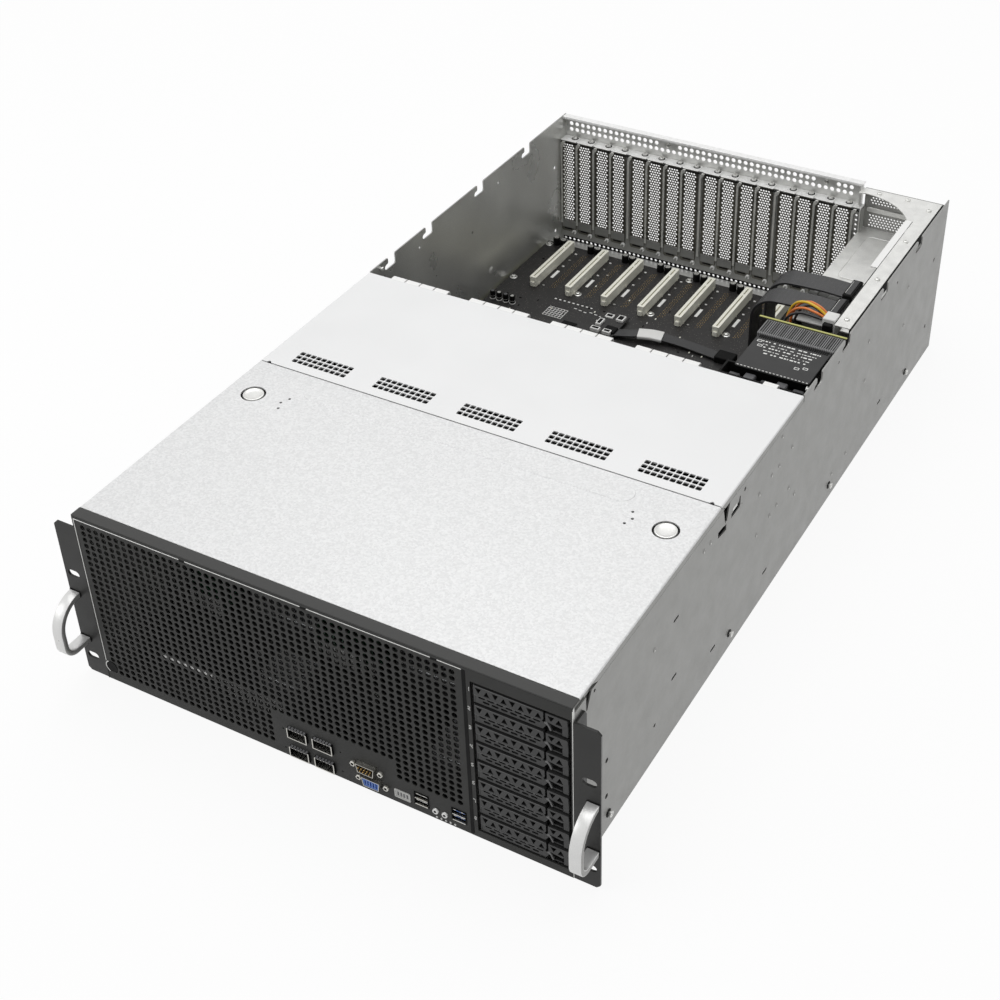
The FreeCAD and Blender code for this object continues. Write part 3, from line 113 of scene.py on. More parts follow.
def spread_of(tree, value, low, high, start=0.3, end=0.7):
    """value carried from start to end over to low to high."""
    values = {"From Min": start, "From Max": end, "To Min": low, "To Max": high}
    return shader_node(tree, "MapRange", values, {"Value": value}).outputs["Result"]


def dots(tree, place, pitch, radius):
    """1 in small scattered dots, 0 elsewhere."""
    cells = shader_node(tree, "TexVoronoi", {"Scale": 1 / (pitch * MM), "Randomness": 0.75},
                        {"Vector": place})
    return spread_of(tree, cells.outputs["Distance"], 1, 0, radius / pitch, radius / pitch + DOT_EDGE)


def painted(tree, under, colour, share):
    """under, with colour over it where share is 1."""
    mix = shader_node(tree, "Mix", {"B": (*colour, 1)}, {"A": under, "Factor": share}, data_type="RGBA")
    return mix.outputs["Result"]


def surface(name, colour, rough, metal, vary, patch, grain, bump, rough_vary=0.06, spangle=0.0,
            spangle_size=3.0, stretch=None, coat=0.0, shine=0.5, specks=(), lines=None):
    """A principled material whose colour, roughness and relief come from patches and a fine grain."""
    material = bpy.data.materials.new(name)
    material.use_nodes = True
    tree = material.node_tree
    shader = tree.nodes["Principled BSDF"]
    for key, value in (("Metallic", metal), ("Coat Weight", coat), ("Specular IOR Level", shine)):
        shader.inputs[key].default_value = value
    place = shader_node(tree, "TexCoord").outputs["Object"]
    patches = noise(tree, place, patch, PATCH_DETAIL, stretch)
    grains = noise(tree, place, grain, GRAIN_DETAIL, stretch)
    blend = sum_of(tree, patches, grains, PATCH_SHARE, GRAIN_SHARE)
    if spangle:
        cells = shader_node(tree, "TexVoronoi", {"Scale": 1 / (spangle_size * MM)}, {"Vector": place})
        tone = shader_node(tree, "SeparateColor", {}, {"Color": cells.outputs["Color"]})
        blend = sum_of(tree, blend, tone.outputs["Red"], 1 - spangle, spangle)
    shades = {"A": (*[c * (1 - vary) for c in colour], 1), "B": (*[min(1.0, c * (1 + vary)) for c in colour],
                                                                 1)}
    mix = shader_node(tree, "Mix", shades, {"Factor": spread_of(tree, blend, 0, 1)}, data_type="RGBA")
    result = mix.outputs["Result"]
    for mark in specks:
        result = painted(tree, result, mark["colour"], dots(tree, place, mark["pitch"], mark["radius"]))
    if lines:
        wave = shader_node(tree, "TexWave", {"Scale": 1 / (lines["pitch"] * MM) * math.pi / 10},
                           {"Vector": place}, bands_direction=lines["along"])
        result = painted(tree, result, lines["colour"], spread_of(tree, wave.outputs["Fac"], 0, 1, 0.5, 0.9))
    relief = shader_node(tree, "Bump", {"Strength": bump, "Distance": BUMP_DEPTH}, {"Height": grains})
    roughness = spread_of(tree, patches, rough - rough_vary, rough + rough_vary)
    for key, source in (("Base Color", result), ("Roughness", roughness),
                        ("Normal", relief.outputs["Normal"])):
        link(tree, source, shader.inputs[key])
    return material


MOTTLED = surface("mottled_zinc", (0.755, 0.758, 0.758), 0.5, 0.3, vary=0.085, patch=2.4, grain=0.9,
                  bump=0.07, spangle=0.35, spangle_size=1.6)
SMOOTH = surface("smooth_zinc", (0.83, 0.833, 0.833), 0.5, 0.25, vary=0.015, patch=60, grain=0.8, bump=0.03)
# White for the middle cover's tabs; on the supply bay's roof edge it is a painted highlight.
TAB_WHITE_AND_HIGHLIGHT = surface("tab_white_and_painted_highlight", (0.97, 0.97, 0.955), 0.5, 0.0, vary=0.02, patch=8, grain=0.6, bump=0.03)
ZINC = surface("case_zinc", (0.32, 0.32, 0.309), 0.42, 0.5, vary=0.06, patch=18, grain=1.0, bump=0.05,
               spangle=0.15, spangle_size=4)
# The walls' inner faces: the case zinc painted much lighter, as painted light against the shade inside the
# bay.
INNER_ZINC_PAINTED_LIGHT = surface("inner_zinc_painted_light", (0.64, 0.645, 0.62), 0.33, 0.7, vary=0.16, patch=70, grain=1.0, bump=0.04,
                     rough_vary=0.1)
BRACKET = surface("bracket_zinc", (0.16, 0.155, 0.135), 0.34, 0.8, vary=0.3, patch=26, grain=0.9, bump=0.05,
                  rough_vary=0.1)
BAR = surface("bar_zinc", (0.74, 0.74, 0.71), 0.4, 0.5, vary=0.1, patch=14, grain=0.8, bump=0.05)
# Zinc painted much lighter for the ledge, the top lip, the hooks and the slot covers' tabs: painted light.
LEDGE_ZINC_PAINTED_LIGHT = surface("ledge_zinc_painted_light", (0.93, 0.93, 0.91), 0.4, 0.2, vary=0.16, patch=3.5, grain=0.8, bump=0.1)
# Bright zinc for many parts; thin strips of it along the bezel's edges and blocks of it on the wall's dimples
# are painted highlights.
BRIGHT_ZINC_AND_HIGHLIGHT = surface("bright_zinc_and_painted_highlight", (0.74, 0.74, 0.72), 0.38, 0.55, vary=0.10, patch=9, grain=0.9, bump=0.06)
BLACK = surface("black_coat", (0.036, 0.036, 0.0345), 0.5, 0.0, vary=0.12, patch=14, grain=0.35, bump=0.2,
                shine=0.2)
BEZEL = surface("bezel_coat", (0.045, 0.045, 0.0435), 0.45, 0.0, vary=0.10, patch=14, grain=0.35, bump=0.2,
                shine=0.3)
TRAY = surface("tray_plastic", (0.034, 0.034, 0.034), 0.42, 0.0, vary=0.10, patch=10, grain=0.3, bump=0.15,
               shine=0.35)
DARK = surface("deep_black", (0.006, 0.006, 0.006), 0.6, 0.0, vary=0.10, patch=10, grain=0.4, bump=0.1,
               shine=0.1)
EAR_BLACK = surface("ear_coat", (0.026, 0.026, 0.025), 0.42, 0.0, vary=0.12, patch=20, grain=0.35, bump=0.15,
                    shine=0.25)
# Lighter grey for thin strips along edges and for the levers' hooks: painted highlight.
EDGE_HIGHLIGHT = surface("painted_edge_highlight", (0.12, 0.12, 0.12), 0.4, 0.0, vary=0.2, patch=4, grain=0.4, bump=0.1)
ALLOY = surface("handle_alloy", (0.76, 0.76, 0.75), 0.33, 0.5, vary=0.05, patch=8, grain=0.7, bump=0.15,
                stretch=(1, 0.15, 1))
# A darker alloy for the handles' flat sides: painted shade.
ALLOY_SHADED_SIDE = surface("handle_side_painted_shade", (0.33, 0.33, 0.32), 0.38, 0.4, vary=0.06, patch=8, grain=0.7, bump=0.1)
STEEL = surface("screw_steel", (0.66, 0.66, 0.64), 0.28, 0.85, vary=0.10, patch=2, grain=0.5, bump=0.08)
FINS = surface("fin_alloy", (0.62, 0.63, 0.64), 0.35, 0.8, vary=0.08, patch=9, grain=0.6, bump=0.05)
BOARD = surface("board_black", (0.021, 0.020, 0.020), 0.42, 0.0, vary=0.2, patch=11, grain=0.8, bump=0.08,
                shine=0.35, specks=[{"colour": (0.16, 0.15, 0.13), "pitch": 3.1, "radius": 0.34},
                                   {"colour": (0.07, 0.065, 0.06), "pitch": 1.9, "radius": 0.3}])
IVORY = surface("slot_ivory", (0.95, 0.94, 0.83), 0.42, 0.0, vary=0.04, patch=8, grain=0.4, bump=0.05)
WHITE = surface("label_white", (0.80, 0.80, 0.78), 0.5, 0.0, vary=0.03, patch=6, grain=0.4, bump=0.03)
CABLE = surface("cable_black", (0.022, 0.022, 0.023), 0.38, 0.0, vary=0.15, patch=4, grain=0.3, bump=0.1)
ORANGE = surface("wire_orange", (0.78, 0.22, 0.05), 0.35, 0.0, vary=0.08, patch=4, grain=0.3, bump=0.05)
YELLOW = surface("wire_yellow", (0.80, 0.52, 0.03), 0.35, 0.0, vary=0.08, patch=4, grain=0.3, bump=0.05)
BLUE = surface("port_blue", (0.10, 0.22, 0.62), 0.35, 0.0, vary=0.06, patch=3, grain=0.3, bump=0.05)
SHELL = surface("port_steel", (0.55, 0.54, 0.50), 0.25, 0.9, vary=0.10, patch=3, grain=0.4, bump=0.05)
GOLD = surface("contact_gold", (0.75, 0.52, 0.20), 0.25, 0.9, vary=0.06, patch=2, grain=0.3, bump=0.03)
SOCKET = surface("socket_grey", (0.09, 0.09, 0.09), 0.5, 0.0, vary=0.12, patch=3, grain=0.3, bump=0.1,
                 lines={"along": "X", "pitch": 1.7, "colour": (0.26, 0.26, 0.265)})
EDGE = surface("board_edge", (0.58, 0.58, 0.20), 0.5, 0.0, vary=0.12, patch=5, grain=0.4, bump=0.08)
# Grey of the chips; on the network cages' upper fingers it is painted shade over their steel.
CHIP_GREY_AND_SHADE = surface("chip_grey_and_painted_shade", (0.10, 0.10, 0.105), 0.4, 0.0, vary=0.25, patch=2, grain=0.5, bump=0.05)
CARD_FACE = surface("card_black", (0.036, 0.036, 0.036), 0.6, 0.0, vary=0.1, patch=15, grain=0.6, bump=0.05,
                    shine=0.3)
SILK = surface("silk_white", (0.90, 0.90, 0.88), 0.5, 0.0, vary=0.03, patch=6, grain=0.4, bump=0.03)
FAN_BLACK = surface("fan_plastic", (0.03, 0.03, 0.03), 0.45, 0.0, vary=0.08, patch=12, grain=0.4, bump=0.08)
COPPER = surface("pipe_copper", (0.65, 0.32, 0.18), 0.3, 0.9, vary=0.08, patch=6, grain=0.4, bump=0.04)
SUPPLY_LIGHT = surface("lamp_green", (0.25, 0.60, 0.25), 0.3, 0.0, vary=0.05, patch=2, grain=0.3, bump=0.02)
GREEN = surface("memory_board", (0.02, 0.10, 0.045), 0.4, 0.0, vary=0.12, patch=6, grain=0.5, bump=0.08,
                coat=0.3)
GLOW = surface("display_grey", (0.60, 0.60, 0.58), 0.25, 0.0, vary=0.04, patch=3, grain=0.4, bump=0.03,
               coat=0.3)


# Mesh making

def ring(u, v, radius, sides=12, start=0.0):
    return [(u + radius * math.cos(start + math.tau * k / sides),
             v + radius * math.sin(start + math.tau * k / sides)) for k in range(sides)]


def about(centre, half):
    """The span of half on either side of centre."""
    return (centre - half, centre + half)


def run(start, length):
    """The span of length from start."""
    return (start, start + length)


def rect(u0, u1, v0, v1, radius=0.0, steps=3):
    """A rectangle, with round corners if radius isn't 0."""
    if not radius:
        return [(u0, v0), (u1, v0), (u1, v1), (u0, v1)]
    loop = []
    for cu, cv, start in ((u1 - radius, v0 + radius, -0.25), (u1 - radius, v1 - radius, 0.0),
                          (u0 + radius, v1 - radius, 0.25), (u0 + radius, v0 + radius, 0.5)):
        for k in range(steps + 1):
            angle = math.tau * (start + 0.25 * k / steps)
            loop.append((cu + radius * math.cos(angle), cv + radius * math.sin(angle)))
    return loop


def centred(u, v, half_u, half_v, radius=0.0, steps=3):
    """A rectangle about a point."""
    return rect(u - half_u, u + half_u, v - half_v, v + half_v, radius, steps)


def arc(cu, cv, radius, start, end, steps):
    """Points of an arc; the angles are in degrees."""
    angles = [math.radians(start + (end - start) * k / steps) for k in range(steps + 1)]
    return [(cu + radius * math.cos(angle), cv + radius * math.sin(angle)) for angle in angles]


def on_x(level, way=1):
    """u is Y, v is Z, and depth runs along X from level."""
    return lambda u, v, w: (level + way * w, u, v)


def on_y(level, way=1):
    """u is X, v is Z, and depth runs along Y from level."""
    return lambda u, v, w: (u, level + way * w, v)


def on_z(level, way=-1):
    """u is X, v is Y, and depth runs along Z from level."""
    return lambda u, v, w: (u, v, level + way * w)


class Piece:
    """Gathers closed shells in millimetres; each face has the number of its material."""

    def __init__(self):
        self.points = []
        self.faces = []
        self.kinds = []
        self.soft = []

    def add(self, points, faces, kind=0, soft=False):
        base = len(self.points)
        self.points += [tuple(p) for p in points]
        for face in faces:
            self.faces.append([base + k for k in face])
            self.kinds.append(kind)
            self.soft.append(soft)

    def block(self, x, y, z, kind=0, bevel=0.0):
        """A block with all its edges bevelled."""
        spans = [sorted(x), sorted(y), sorted(z)]
        size = min(s[1] - s[0] for s in spans)
        bevel = min(bevel, 0.4 * size)
        if not bevel:
            points = [(spans[0][i], spans[1][j], spans[2][k]) for k in (0, 1) for j in (0, 1)
                      for i in (0, 1)]
            self.add(points, [(0, 2, 3, 1), (4, 5, 7, 6), (0, 1, 5, 4), (2, 6, 7, 3), (0, 4, 6, 2),
                              (1, 3, 7, 5)], kind)
            return
        points = []
        for corner in range(8):
            sides = [(corner >> axis) & 1 for axis in range(3)]
            for full in range(3):
                points.append([spans[a][sides[a]] + (0 if a == full else bevel * (1 - 2 * sides[a]))
                               for a in range(3)])
        faces = []
        for axis in range(3):
            others = [a for a in range(3) if a != axis]
            for side in (0, 1):
                loop = []
                for i, j in ((0, 0), (1, 0), (1, 1), (0, 1)):
                    corner = (side << axis) | (i << others[0]) | (j << others[1])
                    loop.append(3 * corner + axis)
                faces.append(loop)
            for i in (0, 1):
                for j in (0, 1):
                    low = (i << others[0]) | (j << others[1])
                    high = low | (1 << axis)
                    faces.append([3 * low + others[0], 3 * low + others[1], 3 * high + others[1],
                                  3 * high + others[0]])
        faces += [[3 * c, 3 * c + 1, 3 * c + 2] for c in range(8)]
        self.add(points, faces, kind)

    def slab(self, outline, place, depth, kind=0, bevel=0.0):
        """An outline pushed through depth, with both rims bevelled."""
        count = len(outline)
        area = sum(outline[k][0] * outline[(k + 1) % count][1] - outline[(k + 1) % count][0] * outline[k][1]
                   for k in range(count))
        turn = 1 if area > 0 else -1
        inner = []
        for k, (u, v) in enumerate(outline):
            before = Vector(outline[k]) - Vector(outline[k - 1])
            after = Vector(outline[(k + 1) % count]) - Vector((u, v))
            normals = [Vector((-e.y, e.x)).normalized() * turn for e in (before, after)]
            both = normals[0] + normals[1]
            shift = both / max(0.3, both.length_squared / 2) * bevel
            inner.append((u + shift.x, v + shift.y))
        levels = [(outline, 0.0), (outline, depth)]
        if bevel:
            levels = [(inner, 0.0), (outline, bevel), (outline, depth - bevel), (inner, depth)]
        points = [place(u, v, w) for loop, w in levels for u, v in loop]
        faces = [list(range(count)), list(range(count * (len(levels) - 1), count * len(levels)))]
        for level in range(len(levels) - 1):
            for k in range(count):
                a = level * count + k
                b = level * count + (k + 1) % count
                faces.append([a, b, b + count, a + count])
        self.add(points, faces, kind)

    def sheet(self, outline, holes, place, depth, kind=0, lines=(), lift=None, wall=None, inside=None):
        """A sheet with holes; lines are edges where it bends and lift raises it.

        wall is the material of its rims, and inside is that of its far face.
        """
        loops = [outline] + list(holes)
        points = []
        rings = []
        for loop in loops:
            rings.append(list(range(len(points), len(points) + len(loop))))
            points += [Vector(p) for p in loop]
        edges = []
        for a, b in lines:
            edges.append((len(points), len(points) + 1))
            points += [Vector(a), Vector(b)]
        flat, _, triangles, _, _, owners = delaunay_2d_cdt(points, edges, rings, 0, 1e-6, True)
        kept = [t for t, owner in zip(triangles, owners) if list(owner) == [0]]
        used = sorted({k for t in kept for k in t})
        number = {k: n for n, k in enumerate(used)}
        count = len(used)
        raised = [lift(*flat[k]) if lift else 0.0 for k in used]
        top = [place(flat[k].x, flat[k].y, -h) for k, h in zip(used, raised)]
        bottom = [place(flat[k].x, flat[k].y, depth - h) for k, h in zip(used, raised)]
        faces = []
        sides = {}
        for triangle in kept:
            a, b, c = [number[k] for k in triangle]
            faces.append([a, b, c])
            faces.append([c + count, b + count, a + count])
            for pair in ((a, b), (b, c), (c, a)):
                if (pair[1], pair[0]) in sides:
                    del sides[(pair[1], pair[0])]
                else:
                    sides[pair] = True
        rims = [[b, a, a + count, b + count] for a, b in sides]
        base = len(self.points)
        first = len(self.kinds)
        self.add(top + bottom, faces, kind)
        if inside is not None:
            self.kinds[first + 1::2] = [inside] * (len(faces) // 2)
        for face in rims:
            self.faces.append([base + k for k in face])
            self.kinds.append(kind if wall is None else wall)
            self.soft.append(False)

    def lathe(self, profile, place, sides=24, kind=0, soft=True):
        """Turns (radius, depth) pairs about place's own w axis; a profile away from the axis makes a ring."""
        points = []
        rows = []
        for radius, depth in profile:
            if radius < 1e-6:
                rows.append([len(points)])
                points.append(place(0, 0, depth))
            else:
                rows.append(list(range(len(points), len(points) + sides)))
                points += [place(*p, depth) for p in ring(0, 0, radius, sides)]
        faces = []
        hollow = len(rows[0]) > 1 and len(rows[-1]) > 1
        for low, high in zip(rows, rows[1:] + rows[:1] if hollow else rows[1:]):
            for k in range(sides):
                nxt = (k + 1) % sides
                if len(low) == 1:
                    faces.append([low[0], high[k], high[nxt]])
                elif len(high) == 1:
                    faces.append([low[k], low[nxt], high[0]])
                else:
                    faces.append([low[k], low[nxt], high[nxt], high[k]])
        for row in (rows[0], rows[-1]):
            if len(row) > 1 and not hollow:
                faces.append(list(row))
        self.add(points, faces, kind, soft)

    def sweep(self, path, section, kind, up):
        """A closed section carried along a path; its first axis stays square to up."""
        path = [Vector(p) for p in path]
        points = []
        for k, centre in enumerate(path):
            ahead = path[min(k + 1, len(path) - 1)] - path[max(k - 1, 0)]
            ahead.normalize()
            across = ahead.cross(Vector(up)).normalized()
            over = across.cross(ahead).normalized()
            points += [centre + across * a + over * b for a, b in section]
        count = len(section)
        faces = [list(range(count)), list(range(len(points) - count, len(points)))]
        for row in range(len(path) - 1):
            for k in range(count):
                a = row * count + k
                b = row * count + (k + 1) % count
                faces.append([a, b, b + count, a + count])
        self.add(points, faces, kind, True)

    def build(self, name, body, materials, stands_for, slot):
        mesh = bpy.data.meshes.new(name)
        mesh.from_pydata([[c * MM for c in p] for p in self.points], [], self.faces)
        for material in materials:
            mesh.materials.append(material)
        mesh.polygons.foreach_set("material_index", self.kinds)
        mesh.polygons.foreach_set("use_smooth", self.soft)
        work = bmesh.new()
        work.from_mesh(mesh)
        bmesh.ops.recalc_face_normals(work, faces=work.faces)
        work.to_mesh(mesh)
        work.free()
        if any(self.soft):
            mesh.set_sharp_from_angle(angle=math.radians(SHARP_ANGLE))
        item = bpy.data.objects.new(name, mesh)
        bpy.context.scene.collection.objects.link(item)
        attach(item, body)
        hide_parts(*stands_for)


def at(x, y, z, axis="z", way=1):
    """A place function about a point, for a lathe along one axis."""
    if axis == "z":
        return lambda u, v, w: (x + u, y + v, z + way * w)
    if axis == "y":
        return lambda u, v, w: (x + u, y + way * w, z + v)
    return lambda u, v, w: (x + way * w, y + u, z + v)


def screw(piece, x, y, z, axis="z", way=1, radius=3.0, rise=2.0, kind=0):
    """A pan head with a round recess, standing on its face."""
    head = [(0, -0.4), (radius, -0.4), (radius, 0.35 * rise), (0.86 * radius, 0.75 * rise),
            (0.45 * radius, rise), (0.32 * radius, rise), (0.26 * radius, 0.5 * rise), (0, 0.45 * rise)]
    piece.lathe(head, at(x, y, z, axis, way), 16, kind)


def smooth_path(points, steps):
    """More points along a smooth line through the given ones."""
    points = [Vector(p) for p in points]
    ends = [2 * points[0] - points[1]] + points + [2 * points[-1] - points[-2]]
    path = []
    for a, b, c, d in zip(ends, ends[1:], ends[2:], ends[3:]):
        for k in range(steps):
            t = k / steps
            path.append(0.5 * (2 * b + (c - a) * t + (2 * a - 5 * b + 4 * c - d) * t * t
                               + (3 * b - a - 3 * c + d) * t * t * t))
    return path + [points[-1]]


# Covers: a flat top whose edges turn down at both sides

BEND = 1.35
FLANGE = TOP - SEAM - BEND
TURN = BEND * math.pi / 2
DEVELOPED = HALF - BEND + TURN + FLANGE
BEND_STEPS = 4


def folded(u, v, w):
    """Bends a flat cover over the case: u runs across, v is Y, w is depth from the outer face."""
    side = 1 if u >= 0 else -1
    run = abs(u) - (HALF - BEND)
    if run <= 0:
        return (u, v, TOP - w)
    if run < TURN:
        angle = run / BEND
        return (side * (HALF - BEND + (BEND - w) * math.sin(angle)), v,
                TOP - BEND + (BEND - w) * math.cos(angle))
    return (side * (HALF - w), v, TOP - BEND - (run - TURN))


def bend_lines(start, end):
    return [((side * (HALF - BEND + TURN * k / BEND_STEPS), start),
             (side * (HALF - BEND + TURN * k / BEND_STEPS), end)) for side in (-1, 1)
            for k in range(BEND_STEPS + 1)]


FRONT_COVER = (-389.85, -158.8)
MIDDLE_COVER = (-157.4, 10.5)
RIB = ((-146.5, -178.1), (144.2, -178.1), 10.8)
RIB_RAMP = 0.55
RIB_RISE = 0.5
BUTTONS = [(-194, -203), (194, -203)]
BUTTON_HOLE = 10.9
BUTTON_CAP = 9.2
DOTS = [(162.5, -210.3), (165.5, -202.7), (162, -195)]


def stadium(start, end, radius, steps=10):
    return arc(end[0], end[1], radius, -90, 90, steps) + arc(start[0], start[1], radius, 90, 270, steps)


def rib_lift(u, v):
    (x0, y), (x1, _), radius = RIB
    nearest = min(max(u, x0), x1)
    return RIB_RISE if math.hypot(u - nearest, v - y) < radius - RIB_RAMP + 0.05 else 0.0


def shade_flanges(piece, kind):
    """The turned-down edges get the wall's darker zinc: painted shade on the upright sides of the cover."""
    for number, face in enumerate(piece.faces):
        spots = [piece.points[k] for k in face]
        if max(z for _, _, z in spots) < TOP - 0.9 * BEND and min(abs(x) for x, _, _ in spots) > INNER - 0.3:
            piece.kinds[number] = kind


def loop_lines(loop):
    return [(loop[k], loop[(k + 1) % len(loop)]) for k in range(len(loop))]


cover = Piece()
holes = [ring(x, y, BUTTON_HOLE, 40) for x, y in BUTTONS]
holes += [ring(side * x, y, 1.3, 10) for side in (-1, 1) for x, y in DOTS]
outline = [(-DEVELOPED, FRONT_COVER[0] + 26), (-DEVELOPED + FLANGE - 0.5, FRONT_COVER[0] + 17),
           (-DEVELOPED + FLANGE - 0.5, FRONT_COVER[0]), (DEVELOPED - FLANGE + 0.5, FRONT_COVER[0]),
           (DEVELOPED - FLANGE + 0.5, FRONT_COVER[0] + 17), (DEVELOPED, FRONT_COVER[0] + 26),
           (DEVELOPED, FRONT_COVER[1] + 7), (DEVELOPED - FLANGE, FRONT_COVER[1]),
           (-DEVELOPED + FLANGE, FRONT_COVER[1]), (-DEVELOPED, FRONT_COVER[1] + 7)]
cover.sheet(outline, holes, folded, METAL, lines=bend_lines(*FRONT_COVER)
            + loop_lines(stadium(RIB[0], RIB[1], RIB[2])) + loop_lines(stadium(RIB[0], RIB[1],
                                                                               RIB[2] - RIB_RAMP)),
            lift=rib_lift)
# A deep black ring under each button hole and a deep black block under each dot hole: painted shade seen
# through the gaps and holes.
for x, y in BUTTONS:
    cover.lathe([(9.5, -2.2), (12.5, -2.2), (12.5, -1.3), (9.5, -1.3)], at(x, y, TOP), 40, 1)
for x, y in DOTS:
    for side in (-1, 1):
        cover.block(about(side * x, 2), about(y, 2), (COVER_UNDER - 0.8, COVER_UNDER - 0.1), 1, 0.1)
# The flanges take the darker case zinc: painted shade.
shade_flanges(cover, 2)
cover.build("front_cover_sheet", "front_cover", [MOTTLED, DARK, ZINC], ["front_cover"], "cover_steel")

FANS = 5
VENT_PITCH = (5.6, 6)
VENT_HALF = (2.45, 2.4)
VENT_COUNT = (10, 3)


def vent_centre(group):
    return 0.9 + (group - 2) * 84.2


vents = []
for group in range(FANS):
    for row in range(VENT_COUNT[1]):
        for column in range(VENT_COUNT[0]):
            u = vent_centre(group) + (column - (VENT_COUNT[0] - 1) / 2) * VENT_PITCH[0]
            v = -145 + VENT_PITCH[1] * row
            vents.append(rect(u - VENT_HALF[0], u + VENT_HALF[0], v - VENT_HALF[1], v + VENT_HALF[1], 0.9,
                              2))
cover = Piece()
SEAM_CUT = 7
outline = [(-DEVELOPED, MIDDLE_COVER[0] + SEAM_CUT), (-DEVELOPED + FLANGE, MIDDLE_COVER[0]),
           (-213.5, MIDDLE_COVER[0]), (-212.5, MIDDLE_COVER[0] + 2), (-210.5, MIDDLE_COVER[0] + 2),
           (-209.5, MIDDLE_COVER[0]), (209.5, MIDDLE_COVER[0]), (210.5, MIDDLE_COVER[0] + 2),
           (212.5, MIDDLE_COVER[0] + 2), (213.5, MIDDLE_COVER[0]), (DEVELOPED - FLANGE, MIDDLE_COVER[0]),
           (DEVELOPED, MIDDLE_COVER[0] + SEAM_CUT), (DEVELOPED, MIDDLE_COVER[1]),
           (-DEVELOPED, MIDDLE_COVER[1])]
cover.sheet(outline, vents, folded, METAL, lines=bend_lines(*MIDDLE_COVER))
# A deep black strip under the seam between the covers and deep black plates under the vent groups: painted
# shade seen through them.
cover.block((-215, 215), (-163.5, -152), (COVER_UNDER - 1.0, COVER_UNDER - 0.1), 1, 0.2)
for group in range(FANS):
    centre = vent_centre(group)
    cover.block(about(centre, 31), (-150, -128), (COVER_UNDER - 6, COVER_UNDER - 4.6), 1, 0.3)
# The flanges take the darker case zinc: painted shade.
shade_flanges(cover, 2)
cover.build("middle_cover_sheet", BODY, [SMOOTH, DARK, ZINC], ["middle_cover"], "cover_steel")
tabs = Piece()
lefts = [-196.3 + 85.4 * group + 15.6 * k for group in range(4) for k in range(4)] + [181.3]
for left in lefts:
    top = COVER_UNDER - 0.1
    side_view = [(9.3, top), (17.2, top), (18.4, top - 0.4), (19.2, top - 1.4), (19.4, top - 4.6),
                 (18.1, top - 4.6), (17.9, top - 1.9), (17.2, top - 1.2), (9.3, top - 1.2)]
    tabs.slab(side_view, on_x(left), 14.5 if left < 181 else 13.1, 0, 0.15)
tabs.build("middle_cover_tabs", BODY, [TAB_WHITE_AND_HIGHLIGHT], ["middle_cover"], "cover_steel")

# Cover buttons: a dished cap inside a bright rim
for (x, y), name in zip(BUTTONS, ("left", "right")):
    cap = Piece()
    cap.lathe([(0, -7.6), (BUTTON_CAP, -7.6), (BUTTON_CAP, -0.9), (8.9, -0.2), (8.2, 0), (7.4, -0.6),
               (4.5, -0.9), (0, -1.0)], at(x, y, TOP), 40)
    cap.build("cover_button_cap_" + name, "cover_button_" + name, [BRIGHT_ZINC_AND_HIGHLIGHT], ["cover_button_" + name],
              "silver_alloy")

# Case walls: stepped under the covers, with hooked notches in the open bay
STRIP = METAL + GAP
WALL_STEP = 12.0
NOTCHES = [41.3, 108.5, 207.5, 305.7]
WALL_HOLES = [(-368.6, 163.4, 1.5), (-111.0, 159.9, 1.9), (-349.5, 75.8, 2.3), (-349.5, 37.8, 2.3),
              (-269.0, 37.8, 1.8), (-116, 148.5, 0.7), (96, 158, 1.5), (250, 158, 1.5), (372, 40, 2.2),
              (372, 120, 2.2)]
WALL_SLOTS = [(-236, 122, 3.4, 1.3), (-236, 61.5, 3.4, 1.3), (-160, 27.5, 3.4, 1.3), (-52, 28.5, 3.4, 1.3),
              (236, 28.5, 3.4, 1.3)]
DIMPLES = [(-273.1, 121.1), (-176.1, 152.5), (-188.7, 153.1), (-77.8, 131.4), (-78.2, 88.3), (-52.1, 133.5),
           (-50.3, 89.1), (-35.7, 132.4), (-35.0, 90.1), (-7.9, 89.6), (-7.6, 133.7), (7.9, 72.4),
           (-33.6, 161.2), (108.5, 26), (145.1, 25.6), (180, 132), (180, 88), (290, 132), (290, 88)]
STUDS = [-346, -125.5, 103, 317]


def wall_outline():
    points = [(FRONT + METAL, 0), (REAR, 0), (REAR, TOP)]
    for start in reversed(NOTCHES):
        end = start + 12.5
        points += [(end + 1, TOP), (end, TOP - 1)]
        points += arc(end - 3, 166, 3, 0, -90, 4)
        points += arc(start - 3.2, 165.8, 2.8, -90, -270, 6)
        points += [(start - 0.8, 168.8), (start, 169.8), (start, TOP - 1), (start - 1, TOP)]
    return points + [(WALL_STEP, TOP), (WALL_STEP, SEAM - GAP), (-141, SEAM - GAP), (-143.5, 160),
                     (-145.5, 152.5), (-149.5, 152.5), (-152, 163), (-153.5, SEAM - GAP), (-373, SEAM - GAP),
                     (-379.5, 154), (-381, 154), (-381, SEAM - GAP), (FRONT + METAL, SEAM - GAP)]


def wall_holes():
    holes = [ring(y, z, r, 12) for y, z, r in WALL_HOLES]
    holes += [stadium((y - reach, z), (y + reach, z), r, 4) for y, z, reach, r in WALL_SLOTS]
    holes.append([(-137, 148.5), (-121, 148.5), (-119.5, 150), (-119.5, 159.5), (-122, 159.5),
                  (-122.5, 155.5), (-137, 152.5)])
    holes.append([(-162.2, 146.0), (-155.3, 144.6), (-146.3, 143.6), (-146.3, 149.4), (-153.4, 151.2),
                  (-162.2, 151.6)])
    return holes


